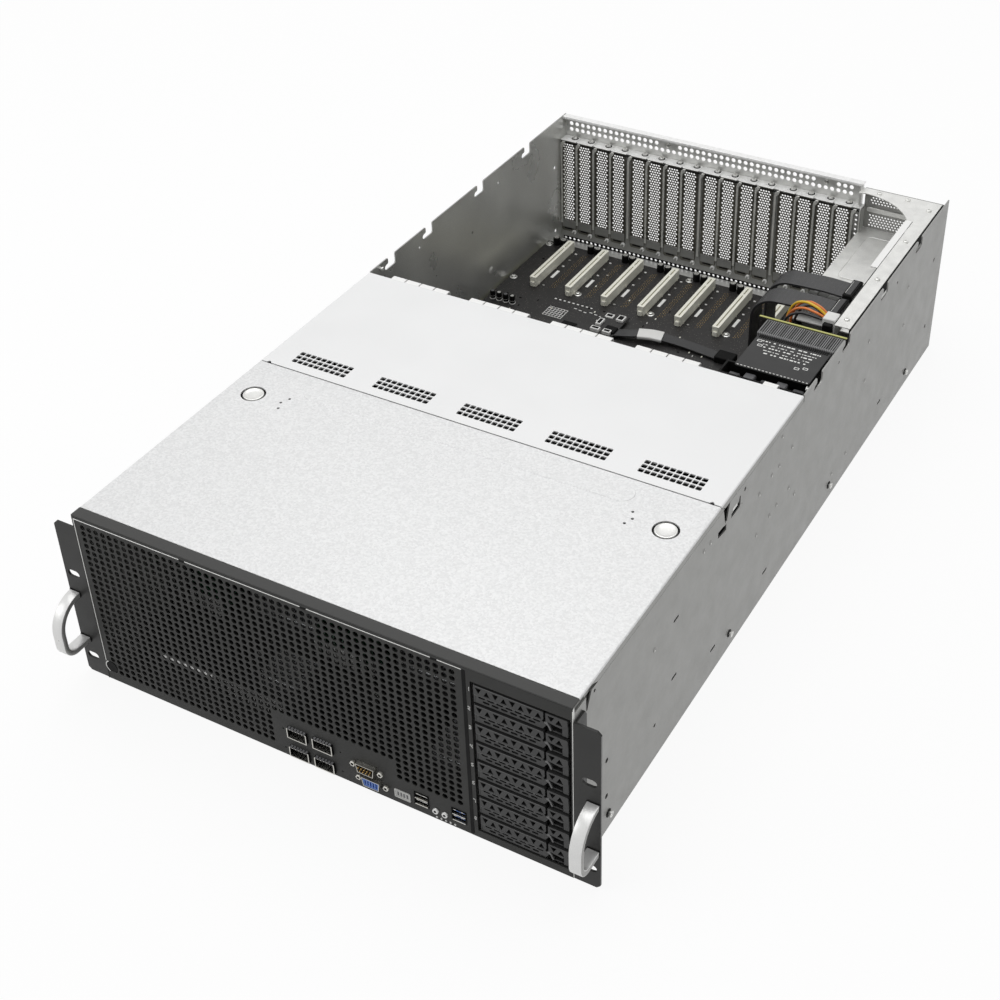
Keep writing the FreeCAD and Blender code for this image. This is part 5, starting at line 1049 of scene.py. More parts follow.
# Drive trays: a perforated lever over a recessed face, with a catch beside it. The lever meets the catch
# at split, and band is the height of its lower strip.
LEVER_LEFT = 141.6
split = 198.3
band = 8.6
for index in range(TRAYS):
    foot = tray_foot(index)
    body = "tray_lever_%d" % (index + 1)
    lever = Piece()
    outline = [(LEVER_LEFT, foot + band), (split - 3.2, foot + band), (split - 1.2, foot + band + 2.6),
               (split - 1.2, foot + 17.2), (split - 1.8, foot + 17.9), (142.2, foot + 17.9),
               (LEVER_LEFT, foot + 17.3)]
    holes = []
    for k in range(8):
        u = 145.5 + 6.8 * k
        if k % 2:
            holes.append([(u - 2.5, foot + 10.5), (u + 2.5, foot + 10.5), (u, foot + 15.6)])
        else:
            holes.append([(u - 2.5, foot + 15.9), (u, foot + 10.8), (u + 2.5, foot + 15.9)])
    lever.sheet(outline, holes, on_y(FRONT - 0.2), 3.6)
    # A deep black plate behind the lever's triangular holes: painted shade seen through them.
    lever.slab([(LEVER_LEFT, foot + 10), (split - 3.2, foot + 10), (split - 1.6, foot + 12),
                (split - 1.6, foot + 17.4), (LEVER_LEFT, foot + 17.4)], on_y(FRONT + 3.2), 0.8, 1)
    slots = []
    for row, v in enumerate((3.4, 6.6)):
        for k in range(7 if row else 6):
            u = 147.5 + 7.3 * k + (0 if row else 3.6)
            slots.append(stadium((u - 1.9, foot + v), (u + 1.9, foot + v), 0.95, 3))
    low = [(LEVER_LEFT, foot + 0.6), (split - 2.4, foot + 0.6), (split + 0.2, foot + 4.6),
           (split - 3.0, foot + band + 0.1), (LEVER_LEFT, foot + band + 0.1)]
    lever.sheet(low, slots, on_y(FRONT + 0.8), 3.1)
    # A deep black plate behind the slots: painted shade seen through them.
    lever.slab([(142, foot + 1), (split - 3, foot + 1), (split - 3, foot + band), (142, foot + band)],
               on_y(FRONT + 3.5), 0.5, 1)
    # Thin strips of the highlight grey along the lever's top and lower edges: painted highlight.
    lever.block((142, split - 3.4), (FRONT - 0.35, FRONT + 0.2), (foot + 17.3, foot + 17.75), 2, 0.1)
    lever.block((142, split - 3.6), (FRONT - 0.35, FRONT + 0.2), (foot + band, foot + band + 0.4), 2, 0.1)
    hook = [(split - 1.4, foot + 7.6), (split + 1.2, foot + 9.2), (split + 3.6, foot + 5.0),
            (split + 4.8, foot + 1.8), (split + 3.4, foot + 1.4), (split + 1.6, foot + 5.4),
            (split - 0.6, foot + 6.2)]
    # The hook takes the highlight grey: painted highlight on it.
    lever.slab(hook, on_y(FRONT + 0.4), 1.6, 2, 0.2)
    lever.build("lever_face_%d" % (index + 1), body, [TRAY, DARK, EDGE_HIGHLIGHT], [body], "black_plastic")

    tray = Piece()
    body = "drive_tray_%d" % (index + 1)
    holes = [rect(147 + 16 * k, 158 + 16 * k, foot + 8, foot + 15, 1) for k in range(3)]
    # The recessed face is in deep black rather than the tray plastic: painted shade in the recess and between
    # the trays.
    tray.sheet(rect(141, 216.8, foot, foot + TRAY_RISE), holes, on_y(FRONT + 4.4), 4.6, 1)
    catch = [(split + 0.6, foot + 10.0), (210.5, foot + 8.4), (215.9, foot + 12.8), (215.9, foot + 17.2),
             (215.2, foot + 17.9), (split + 0.5, foot + 17.9)]
    marks = [[(200.3, foot + 16.0), (203.0, foot + 11.2), (205.7, foot + 16.0)],
             [(206.4, foot + 10.6), (212.0, foot + 10.6), (209.2, foot + 15.7)]]
    tray.sheet(catch, marks, on_y(FRONT - 0.2), 4.4)
    # A deep black plate behind the catch's triangular cut-outs: painted shade seen through them.
    tray.slab([(split + 0.8, foot + 11), (214, foot + 11), (214, foot + 17), (split + 0.8, foot + 17)],
              on_y(FRONT + 3.4), 0.9, 1)
    tray.block((210.8, 215.8), (FRONT + 0.9, FRONT + 4.5), (foot + 0.5, foot + 12), 0, 0.4)
    tray.block((203, 210.5), (FRONT + 1.6, FRONT + 4.5), (foot + 0.5, foot + 1.8), 0, 0.2)
    tray.block((141.1, 142.3), (FRONT + 0.6, FRONT + 4.5), (foot + 0.5, foot + 17.8), 0, 0.2)
    for low in (139.05, 213.3):
        tray.block(run(low, 2.75), (FRONT + 8.9, -288.2), (foot + 1.1, foot + 12), 0, 0.4)
    tray.block((139.4, 216.6), (FRONT + 29, FRONT + 43), (foot + 1.1, foot + 1.8), 0, 0.1)
    tray.block((142.3, 212.1), (FRONT + 9, FRONT + 109), (foot + 1.8, foot + 16.4), 2, 0.6)
    tray.slab(rect(147, 207, FRONT + 16, FRONT + 100, 3), on_z(foot + 16.6), 0.4, 3, 0.1)
    tray.block((160, 196), (FRONT + 106, FRONT + 109.6), (foot + 4.5, foot + 9), 1, 0.2)
    for u in (140.6, 214.6):
        for v in (FRONT + 30, FRONT + 96):
            screw(tray, 139.05 if u < 170 else 216.05, v, foot + 7, "x", -1 if u < 170 else 1, 1.7, 0.35, 4)
    tray.build("tray_body_%d" % (index + 1), body, [TRAY, DARK, FINS, WHITE, STEEL], [body], "black_plastic")

# Expansion board on its deck, with its long card slots
board = Piece()
board.sheet(rect(-216.8, 132.4, 30, 352, 1.5), [ring(x, y, 2.0, 12) for x, y in BOARD_SCREWS], on_z(CARD),
            1.6, 0, wall=1)
for index in range(CARD_SLOTS):
    x = slot_x(index)
    for k in range(2):
        u = x - 21.0 + 9.6 * k
        board.lathe([(3.9, 0), (4.1, 0.8), (3.9, 8.2), (3.1, 8.9), (0, 8.9)], at(u, 349.0 - 1.5 * k, CARD),
                    20, 2)
        board.lathe([(3.0, 8.8), (3.0, 9.05), (0, 9.05)], at(u, 349.0 - 1.5 * k, CARD), 16, 3)
    board.block((x + 7.6, x + 11.0), (281, 297.5), on_card(0.25), 8, 0.1)
    for k in range(6):
        v = 262 + 15 * k
        if k not in (1, 2):
            board.block((x + 8.2, x + 10.6), run(v, 1.6), on_card(0.8), 8 if k % 2 else 3, 0.1)
    for row in range(3):
        for k in range(22):
            u, v = x + 17.4 + 2.3 * row + 0.4 * (k % 2), 262 + 3.6 * k + 1.2 * row
            if index < 7 or u < 128:
                board.block(run(u, 0.75), run(v, 0.75), (CARD - 0.05, CARD + 0.12), 7)
    for k in range(5):
        v = 266 + 15 * k
        board.block((x - 7.6, x - 6.4), run(v, 2.2), on_card(0.7), 5 if k % 2 else 3, 0.1)
for k in range(4):
    u, v = -210.1 + 8.1 * k, 215.3
    board.lathe([(0, 0), (3.5, 0), (3.5, 0.8), (0, 0.8)], at(u, v, CARD), 8, 8)
    board.lathe([(2.9, 0.7), (2.9, 8.8), (2.5, 9.3), (0, 9.3)], at(u, v, CARD), 20, 2)
    board.lathe([(3.0, 3.2), (3.0, 4.0), (2.8, 4.0), (2.8, 3.2)], at(u, v, CARD), 20, 3)
    board.lathe([(2.0, 9.2), (2.0, 9.4), (0, 9.4)], at(u, v, CARD), 16, 3 if k % 2 else 6)
for k in range(7):
    board.block((-147 + 3.6 * k, -146.5 + 3.6 * k), (211, 229), on_card(0.2), 8)
for k in range(6):
    board.block((-147, -124.9), (211 + 3.5 * k, 211.5 + 3.5 * k), on_card(0.22), 8)
for k in range(9):
    board.block((-122 + 6.2 * k, -118.6 + 6.2 * k), (236 - 1.1 * (k % 3), 237 - 1.1 * (k % 3)), on_card(0.2),
                8)
    board.block((-150 + 5.4 * k, -147.6 + 5.4 * k), (244, 245.6), on_card(0.2), 8)
for left, right, front, rear, rise, kind in ((-120, -104, 196, 210, 1.0, 2), (-20, 4, 150, 174, 1.3, 6),
                                            (-170, -140, 120, 150, 1.4, 6), (40, 66, 110, 136, 1.3, 6)):
    board.block((left, right), (front, rear), on_card(rise), kind, 0.25)
board.block((-86, -58), (198, 241), (CARD + 3, CARD + 4.4), 0, 0.2)
for left, front, width, length, rise in ((-84, 200, 10, 6, 8), (-70, 200, 9, 6, 8), (-84, 212, 6, 12, 7),
                                         (-68, 228, 8, 10, 7), (-82, 230, 9, 7, 6)):
    board.block(run(left, width), run(front, length), (CARD + 3.5, CARD + rise), 8, 0.4)
    board.block((left + 1.2, left + width - 1.2), (front + 1.2, front + length - 1.2),
                (CARD + rise - 0.4, CARD + rise + 0.05), 2, 0.1)
for side in (0, 1):
    board.block((-84 + 20 * side, -81 + 20 * side), (202, 205), on_card(3.2), 3, 0.3)
spots = []
while len(spots) < 170:
    spot = (chance.uniform(-208, 126), chance.uniform(40, 340))
    near_slot = any(abs(spot[0] - slot_x(i)) < 17 for i in range(CARD_SLOTS)) and spot[1] > 250
    if not near_slot and all(math.dist(spot, other) > 5 for other in spots):
        spots.append(spot)
for u, v in spots:
    long_way = chance.random() < 0.5
    reach = (1.3, 0.6) if long_way else (0.6, 1.3)
    board.block((u - reach[0], u + reach[0]), (v - reach[1], v + reach[1]), on_card(0.6),
                chance.choice((2, 3, 5)), 0.12)
board.build("expansion_board_plate", BODY, [BOARD, EDGE, DARK, STEEL, WHITE, IVORY, CHIP_GREY_AND_SHADE, GOLD, SILK],
            ["expansion_board"], "board_black")

slots = Piece()
for index in range(CARD_SLOTS):
    x = slot_x(index)
    top = CARD + 11.3
    mouths = [rect(x - 0.8, x + 0.8, 259, 326.6, 0.3), rect(x - 0.8, x + 0.8, 329.4, 342, 0.3)]
    slots.sheet(rect(x - 3.8, x + 3.8, 256, 345, 0.7), mouths, on_z(top), 8.6)
    slots.block(about(x, 3.8), (256.2, 344.8), (CARD, top - 8.3), 0, 0.2)
    # A deep black bar at the floor of each slot mouth: painted shade in the slot.
    slots.block(about(x, 1.25), (259.1, 341.9), (CARD + 2.8, CARD + 3.6), 1)
    slots.block(about(x, 2.4), (254.6, 256.3), (CARD, top - 5.4), 0, 0.5)
    slots.block((x - 5.2, x - 3.7), (257.5, 259.5), run(CARD, 2.4), 1, 0.3)
    slots.block(about(x, 2.6), (344.8, 347.6), (CARD, top - 2.6), 0, 0.5)
    for k in range(26):
        v = 260.6 + 3.2 * k
        if not 325 < v < 330:
            for side in (-1, 1):
                slots.block((x + side * 0.5, x + side * 0.82), run(v, 1.5), (CARD + 3.2, top - 3.2), 2, 0.1)
    for k in range(3):
        slots.block((x - 4.5, x - 3.7), (262 + 38 * k, 264 + 38 * k), run(CARD, 3), 0, 0.2)
        slots.block((x + 3.7, x + 4.5), (262 + 38 * k, 264 + 38 * k), run(CARD, 3), 0, 0.2)
slots.build("card_slots", BODY, [IVORY, DARK, GOLD], ["expansion_slots"], "slot_plastic")

deck = Piece()
deck_holes = [rect(u, u + 46, v, v + 26, 3) for u in (-200, -130, -60, 10, 80) for v in (60, 120, 180)]
deck.sheet(rect(-218.7, BAY - METAL - 0.1, 24, SLOT_FACE - 0.1), deck_holes[:12], on_z(DECK), METAL)
deck.block((-218.7, BAY - METAL - 0.1), (24, 25.2), (METAL, DECK - METAL), 0, 0.3)
deck.block((-218.7, BAY - METAL - 0.1), (357, 358.2), (METAL, DECK - METAL), 0, 0.3)
for x, y in BOARD_SCREWS:
    deck.lathe([(0, 0), (3.3, 0), (3.3, 12.3), (0, 12.3)], at(x, y, DECK), 6, 1, False)
deck.build("bay_deck", BODY, [BRIGHT_ZINC_AND_HIGHLIGHT, STEEL], ["middle_deck"], "zinc_steel")

# Flat cables: ribbed straps carried along their routes
STRAP_RIB = 0.35


def strap(piece, path, width, thick, ribs_across):
    """A flat cable with a round rib for each of its wires."""
    pitch = width / ribs_across
    top = []
    for k in range(ribs_across):
        left = -width / 2 + pitch * k
        top += [(left + 0.06 * pitch, thick / 2 - STRAP_RIB), (left + 0.3 * pitch, thick / 2),
                (left + 0.7 * pitch, thick / 2), (left + 0.94 * pitch, thick / 2 - STRAP_RIB)]
    outline = top + [(u, -v) for u, v in reversed(top)]
    piece.sweep(path, [(v, u) for u, v in outline], 0, (0, 1, 0))


cables = Piece()
for start, end in ((242, 270), (204, 232)):
    middle = (start + end) / 2
    path = [(172, middle, 131.4), (150, middle, 132.4), (130, middle, 131.8)]
    path += [(u, middle, v) for u, v in arc(116.8, 105.8, 25.2, 90, 180, 14)]
    path += [(91.6, middle, v) for v in (96, 84, 70, 58, 47)]
    strap(cables, path, 27.4, 2.6, 13)
    cables.block((170, 180.2), (start - 2, end + 2), (123.2, 136.2), 1, 0.8)
    cables.block((172.4, 177.8), (start, end), (136.1, 136.9), 0, 0.3)
    cables.block((171.5, 172.1), (start + 2, end - 2), (136.1, 136.5), 2, 0.1)
    cables.block((86.8, 98.2), (start - 2, end + 2), run(CARD, 10), 1, 0.8)
    cables.block((84.2, 100.8), (start - 3, end + 3), run(CARD, 5), 1, 0.5)
path = [(-60, 209, 41.5), (-46, 211, 43.5), (-34, 215, 44.5), (-20, 219, 44.5), (-6, 222, 43),
        (14, 223.5, 41.4), (34, 222, 40.8), (56, 219, 41)]
strap(cables, smooth_path(path, 6), 13.5, 2.0, 8)
wrap = smooth_path([(-35, 214.6, 44.5), (-22, 218.5, 44.6), (-10, 221.2, 43.6)], 5)
cables.sweep(wrap, centred(0, 0, 1.9, 8.2, 1.2, 3), 3, up=(0, 1, 0))
cables.block((-71, -58), (203, 215), run(CARD, 7), 1, 0.8)
cables.block((52, 72), (211, 226), run(CARD, 7.5), 1, 0.8)
cables.build("flat_cables", BODY, [CABLE, DARK, STEEL, WHITE], ["ribbon_cables"], "cable_black")

# Power supply bay: shelf, roof strip with its arched cut-out, walls
SUPPLIES = 3
SUPPLY_PITCH = 40.6
bay = Piece()
bay.slab([(24, METAL), (200, METAL), (384, METAL), (384, 122.6), (200, 122.6), (198.5, 121), (198.5, 42),
          (24, 42)], on_x(BAY, -1), METAL, 0, 0.2)
bay.sheet(rect(BAY - METAL, INNER - 0.1, 198, REAR_FACE - 0.1),
          [rect(141, 153, 248, 262, 2), ring(150, 300, 2.2, 12), ring(186, 300, 2.2, 12),
           ring(150, 370, 2.2, 12), ring(186, 370, 2.2, 12)], on_z(123.0), METAL, 1)
bay.slab(rect(146, 190, 290, 380, 6), on_z(123.9), 0.9, 1, 0.8)
roof = [(BAY - 4, REAR_FACE), (BAY - 4, 385)]
roof += [(136, 387.5)] + arc(134, 321.5, 66, 88, 9, 20)
ROOF_RIGHT = INNER - 5.0
roof += [(198, 322), (198, 137.2), (ROOF_RIGHT, 137.2), (ROOF_RIGHT, REAR_FACE)]
bay.slab(roof, on_z(168), METAL, 1, 0.2)
# Deep black strips filling the gap between the roof strip and the wall: painted shade.
bay.block((ROOF_RIGHT, INNER - 0.2), (137.2, REAR_FACE - 0.2), (165.6, 166.8), 3, 0.2)
bay.block((ROOF_RIGHT - 1, ROOF_RIGHT), (137.2, REAR_FACE - 0.2), (160, 167.2), 3, 0.2)
bay.block((198, 199.2), (137.2, 250), (152, 168), 1, 0.2)
bay.block((198, 199.2), (250, 352), (159, 168), 1, 0.2)
# A white strip on the roof edge by the arched cut-out: painted highlight on the bent-down flange below it.
bay.block((191.6, 198.6), (250, 351), (167.2, 168.6), 4, 0.3)
bay.block((198, 199.2), (200, 250), (122.9, 168), 1, 0.2)
bay.block((199.2, 208), (240, 250), (150, 151.2), 1, 0.2)
for k in range(1, SUPPLIES):
    z = METAL + SUPPLY_PITCH * k
    bay.block((BAY, INNER - 0.1), (215, REAR_FACE - 0.1), (z - METAL, z), 0, 0.2)
for x, y in ((206, 150), (206, 230), (206, 310), (206, 380), (150, 392), (180, 392)):
    screw(bay, x, y, 168.2, radius=2.7, rise=1.5, kind=2)
bay.build("supply_bay", BODY, [ZINC, BRIGHT_ZINC_AND_HIGHLIGHT, STEEL, DARK, TAB_WHITE_AND_HIGHLIGHT], ["psu_cage"], "zinc_steel")

# Upright riser board with its striped connector, and the adapter card before it
riser = Piece()
riser.slab([(BAY - 0.9, 46), (BAY + 0.1, 46), (BAY + 0.1, METAL), (217.6, METAL), (217.6, 167.2),
            (216.6, 168.2), (133.8, 168.2), (132.8, 167.2)], on_y(120), 1.6, 0)
riser.block((133.2, 217.2), (119.95, 121.65), (167.4, 168.3), 1, 0.1)
riser.block((141, 215), (95.5, 119.9), (156.2, 167.2), 2, 0.8)
for k in range(34):
    u = 143 + 2.1 * k
    riser.block(run(u, 0.9), (97.5, 118), (167.1, 167.35), 4, 0.1)
for left, front, width, length, rise in ((143, 121.6, 12, 6, 12), (160, 121.6, 9, 4, 8),
                                         (182, 121.6, 14, 7, 10)):
    riser.block(run(left, width), run(front, length), run(140, rise), 4, 0.6)
riser.build("riser_plate", BODY, [BOARD, EDGE, SOCKET, STEEL, DARK], ["riser_board"], "board_black")

card = Piece()
card.slab(rect(143, 212.5, 41, 94, 2.2), on_z(165.4), 1.5, 0, 0.2)
for row in range(5):
    u = 151 + 2 * row
    while u < 206 - 2 * row:
        width = chance.choice((1.2, 2.0, 3.4))
        rise = 1.0 if row % 2 else 1.6
        card.block(run(u, width), (86 - 4.6 * row, 86 - 4.6 * row + rise), (165.3, 165.55), 5, 0.05)
        u += width + chance.choice((0.9, 1.3, 3.2))
for left, front in ((146, 84), (149, 77), (199, 60), (192, 57)):
    card.sheet(rect(left, left + 4.6, front, front + 3.4, 0.6),
               [rect(left + 0.6, left + 4.0, front + 0.6, front + 2.8, 0.3)], on_z(165.6), 0.3, 5)
for k in range(34):
    card.block((145 + 1.95 * k, 146.2 + 1.95 * k), (90.6, 94.4), (165.2, 166.0), 1, 0.1)
for k in range(20):
    card.block((145 + 3.4 * k, 146.8 + 3.4 * k), (41.6, 42.4), (165.3, 165.6), 3, 0.05)
card.sheet(rect(BAY + 0.1, INNER - 0.1, 26.2, 47), [rect(BAY + 2, INNER - 2, 28, 45, 1)], on_z(163.8), 14, 1)
card.block((BAY + 1, INNER - 1), (27, 46), (148.2, 150), 1, 0.2)
for k in range(5):
    card.block((140 + 15 * k, 150 + 15 * k), (30, 40), (150, 158 + (k % 2) * 3), 4, 0.8)
card.build("adapter_card_plate", BODY, [CARD_FACE, DARK, STEEL, BRIGHT_ZINC_AND_HIGHLIGHT, CHIP_GREY_AND_SHADE, SILK], ["adapter_card"],
           "board_black")

# Power wires from the white plug
wires = Piece()
routes = [
    (4, [(184.5, 158.5, 163.5), (176, 160, 168), (164, 165, 167), (152, 170, 158),
         (145, 173, 142), (142, 174, 120)]),
    (5, [(184.5, 155.5, 163.5), (175, 156, 169), (162, 160, 169), (150, 165, 161),
         (142.5, 168, 144), (140, 170, 120)]),
    (4, [(184.5, 152.5, 162.5), (176, 151.5, 166), (163, 154, 166), (151, 158, 158),
         (143, 162, 142), (141, 165, 120)]),
    (0, [(184.5, 149.5, 162), (175, 148, 164), (162, 149, 163.5), (150, 152, 155),
         (142, 157, 140), (140, 160, 120)]),
    (0, [(184.5, 157, 159.5), (176, 162, 162), (165, 169, 161), (154, 175, 152),
         (147, 178, 138), (144, 179, 120)]),
]
for kind, route in routes:
    wires.sweep(smooth_path([Vector(p) for p in route], 6), ring(0, 0, 1.25, 10), kind, up=(0.2, 1, 0.1))
wires.block((184, 196.5), (146.5, 160.5), (154.5, 165.8), 3, 0.7)
for k in range(4):
    wires.block((183.8, 184.4), (148.4 + 3 * k, 150.2 + 3 * k), (160.5, 163.5), 1, 0.1)
wires.block((186, 195), (140.5, 146), (154.5, 162.8), 1, 0.7)
wires.block((BAY + 0.2, BAY + 16), (146, 181), (108, 122), 1, 0.8)
wires.build("wire_bundle", BODY, [CABLE, DARK, STEEL, WHITE, ORANGE, YELLOW], ["power_wires"], "wire_cover")

# Power supplies: case with fan grille, power inlet, grip and latch at the rear
SUPPLY_SIZE = (73.5, 39)
for index in range(SUPPLIES):
    name = "psu_%d" % (index + 1)
    left = 140.0
    right = left + SUPPLY_SIZE[0]
    low = METAL + 0.2 + SUPPLY_PITCH * index
    high = low + SUPPLY_SIZE[1]
    supply = Piece()
    supply.block((left, right), (215, REAR - 2.4), (low, high), 0, 0.5)
    face_holes = []
    for row in range(12):
        for column in range(12):
            u = left + 4.4 + 3.0 * column + (1.5 if row % 2 else 0)
            v = low + 4.2 + 2.65 * row
            if math.hypot(u - left - 20, v - low - 19.5) < 16.3:
                face_holes.append(ring(u, v, 1.15, 8))
    face_holes.append(rect(right - 30, right - 4, low + 9, high - 9, 2))
    face_holes.append(ring(right - 17, high - 4.5, 1.3, 10))
    supply.sheet(rect(left, right, low, high, 0.6), face_holes, on_y(REAR - 1.6), 1.6, 0)
    supply.block((left + 2, right - 2), (REAR - 2.5, REAR - 2.2), (low + 2, high - 2), 1)
    supply.sheet(rect(right - 29.6, right - 4.4, low + 9.4, high - 9.4, 2.4),
                 [rect(right - 27.6, right - 6.4, low + 11.4, high - 11.4, 3)], on_y(REAR + 0.3), 2.4, 1)
    for k, v in ((-1, 0), (0, 2.4), (1, 0)):
        supply.block((right - 18 + 6.2 * k, right - 16 + 6.2 * k), (REAR - 2.3, REAR - 0.2),
                     (low + 17.2 + v, low + 20.8 + v), 2, 0.3)
    supply.lathe([(1.2, -2), (1.25, 0.1), (0.9, 0.5), (0, 0.6)], at(right - 17, REAR, high - 4.5, "y"), 14,
                 3)
    grip = [(left + 3.5, REAR - 1, low + 19.5)]
    grip += [(left + 3.5, REAR + v, low + 19.5) for v in (6, 12)]
    grip += [(u, v, low + 19.5) for u, v in arc(left + 10.5, REAR + 15.5, 7, 180, 90, 7)]
    grip += [(u, v, low + 19.5) for u, v in arc(left + 30.5, REAR + 15.5, 7, 90, 0, 7)]
    grip += [(left + 37.5, REAR + v, low + 19.5) for v in (12, 6, -1)]
    supply.sweep(grip, centred(0, 0, 1.5, 5.2, 1.0, 3), 1, up=(0, 0, 1))
    supply.block((left + 41, left + 44), (REAR - 0.2, REAR + 9), (low + 13, high - 13), 1, 0.6)
    supply.block((left + 16, right - 16), (203.2, 215.2), (low + 3, low + 11), 1, 0.6)
    for k in range(14):
        supply.block((left + 18 + 2.7 * k, left + 19.6 + 2.7 * k), (203.0, 208), (low + 6.6, low + 7.4), 2)
    supply.build("power_supply_%d" % (index + 1), name, [ZINC, DARK, GOLD, SUPPLY_LIGHT], [name],
                 "zinc_steel")

# Fans: frames with struts, rotors with twisted blades
FAN_Y = (-98.8, -60.8)
FAN_Z = 124.0
FAN_PITCH = 84.4
FAN_BORE = 38.2
FAN_CORNER = 35.6
BLADES = 7
BLADE_STEPS = 6
BLADE_ROW = BLADE_STEPS + 1


def fan_x(index):
    return (index - 2) * FAN_PITCH


frames = Piece()
for index in range(FANS):
    x = fan_x(index)
    outline = centred(x, FAN_Z, 39.8, 39.8, 4)
    corners = [ring(x + a * FAN_CORNER, FAN_Z + b * FAN_CORNER, 2.1, 10) for a in (-1, 1) for b in (-1, 1)]
    bore = ring(x, FAN_Z, FAN_BORE, 48)
    frames.sheet(outline, [bore] + corners, on_y(FAN_Y[0] + 0.1), 3.5)
    frames.sheet(outline, [bore] + corners, on_y(FAN_Y[1] - 3.5), 3.4)
    frames.sheet(ring(x, FAN_Z, 39.4, 48), [bore], on_y(FAN_Y[0] + 3), 32.2)
    frames.lathe([(0, -5), (16, -5), (16, -0.4), (15.4, 0), (0, 0)], at(x, FAN_Y[1], FAN_Z, "y"), 32)
    for k in range(4):
        angle = math.tau * (k + 0.5) / 4
        start = (x + 15 * math.cos(angle), FAN_Y[1] - 2.2, FAN_Z + 15 * math.sin(angle))
        end = (x + 38.6 * math.cos(angle + 0.35), FAN_Y[1] - 2.2, FAN_Z + 38.6 * math.sin(angle + 0.35))
        frames.sweep([start, end], centred(0, 0, 1.8, 1.4, 0.5, 2), 0, up=(0, 1, 0))
frames.build("fan_frames", BODY, [FAN_BLACK], ["fan_housings"], "black_plastic")
for index in range(FANS):
    rotor = Piece()
    x = fan_x(index)
    middle = FAN_Y[1] - 18.5
    rotor.lathe([(0, -13), (14.6, -13), (15.8, -12.2), (16, -11), (16, 13), (0, 13)],
                at(x, middle, FAN_Z, "y"), 40)
    rotor.lathe([(0, -13.3), (9, -13.3), (9.2, -12.9), (0, -12.9)], at(x, middle, FAN_Z, "y"), 32, 1)
    for blade in range(BLADES):
        points = []
        for r_step in range(BLADE_ROW):
            out = r_step / BLADE_STEPS
            radius = 15.5 + 20.4 * out
            for a_step in range(BLADE_ROW):
                share = a_step / BLADE_STEPS - 0.5
                angle = math.tau * blade / BLADES + 0.16 * out + share * (0.78 - 0.22 * out)
                along = -share * (22 - 5 * out) + 2.2 * (1 - 4 * share * share)
                points.append((x + radius * math.cos(angle), middle + along,
                               FAN_Z + radius * math.sin(angle)))
        count = len(points)
        back = [(px, py + 1.1, pz) for px, py, pz in points]
        faces = []
        for i in range(BLADE_STEPS):
            for j in range(BLADE_STEPS):
                a = BLADE_ROW * i + j
                b = a + BLADE_ROW
                faces.append((a, a + 1, b + 1, b))
                faces.append((a + count, b + count, b + 1 + count, a + 1 + count))
        corner = count - 1
        steps = range(BLADE_STEPS)
        rim = list(steps) + [BLADE_STEPS + BLADE_ROW * i for i in steps]
        rim += [corner - i for i in steps] + [corner - BLADE_STEPS - BLADE_ROW * i for i in steps]
        for k, a in enumerate(rim):
            b = rim[(k + 1) % len(rim)]
            faces.append((a, b, b + count, a + count))
        rotor.add(points + back, faces, 0, True)
    name = "fan_rotor_%d" % (index + 1)
    rotor.build("fan_blades_%d" % (index + 1), name, [FAN_BLACK, ZINC], [name], "black_plastic")

# Wall that holds the fans
fan_wall = Piece()
holes = [ring(fan_x(i), FAN_Z, FAN_BORE, 48) for i in range(FANS)]
holes += [rect(fan_x(i) - 22, fan_x(i) + 22, 15.2, 45.2, 4) for i in range(FANS)]
holes += [ring(fan_x(i) + a * FAN_CORNER, FAN_Z + b * FAN_CORNER, 1.8, 10)
          for i in range(FANS) for a in (-1, 1) for b in (-1, 1)]
fan_wall.sheet(rect(-217.2, 217.2, METAL, COVER_UNDER - 0.1), holes, on_y(-100), METAL)
fan_wall.block((-217.2, 217.2), (-98.8, -61), (82.8, 84), 0, 0.2)
fan_wall.block((-217.2, 217.2), (-98.8, -94), (COVER_UNDER - 1.3, COVER_UNDER - 0.1), 0, 0.2)
for i in range(FANS):
    for a in (-1, 1):
        for b in (-1, 1):
            screw(fan_wall, fan_x(i) + a * FAN_CORNER, -100, FAN_Z + b * FAN_CORNER, "y", -1, 2.8, 1.6, 1)
fan_wall.build("fan_wall_sheet", BODY, [ZINC, STEEL], ["fan_wall"], "zinc_steel")

# Main board, memory and coolers under the front cover
main = Piece()
main.block((-212, -35), (-388, -106), (6.4, 8), 0, 0.2)
main.block((-34.9, 11), (-348, -106), (6.4, 8), 0, 0.2)
main.block((11.1, 132), (-388, -106), (6.4, 8), 0, 0.2)
main.block((-177, -57), (-377.5, -372.5), (8, 22.4), 1, 0.5)
for k in range(18):
    main.block((-175.2 + 6.6 * k, -170.6 + 6.6 * k), (-378.6, -377.4), (10.5, 20.6), 2, 0.3)
for left, right, front, rear, rise, kind in ((-160, -128, -362, -330, 6, 3), (-100, -60, -352, -318, 10, 4),
                                            (70, 118, -360, -312, 12, 4), (-205, -185, -370, -330, 14, 3),
                                            (30, 60, -330, -306, 5, 3), (-205, -150, -140, -128, 12, 3),
                                            (-60, -5, -140, -128, 12, 3), (60, 120, -140, -128, 12, 3)):
    main.block((left, right), (front, rear), (7.9, 8 + rise), kind, 0.5)
for k in range(40):
    u, v = chance.uniform(-205, 125), chance.choice((chance.uniform(-366, -300), chance.uniform(-165, -112)))
    main.lathe([(2.9, 0), (3, 6.6), (2.5, 7.3), (0, 7.3)], at(u, v, 7.9), 16, 5 if k % 3 else 3)
for i in range(4):
    for k in range(3):
        main.lathe([(0, 0), (3, 0), (3, 5.3), (0, 5.3)], at(-197 + 105 * i, -337 + 100 * k, METAL - 0.1), 6,
                   5, False)
main.build("main_board_plate", BODY, [BOARD, WHITE, DARK, DARK, FINS, STEEL], ["motherboard"], "board_black")
memory = Piece()
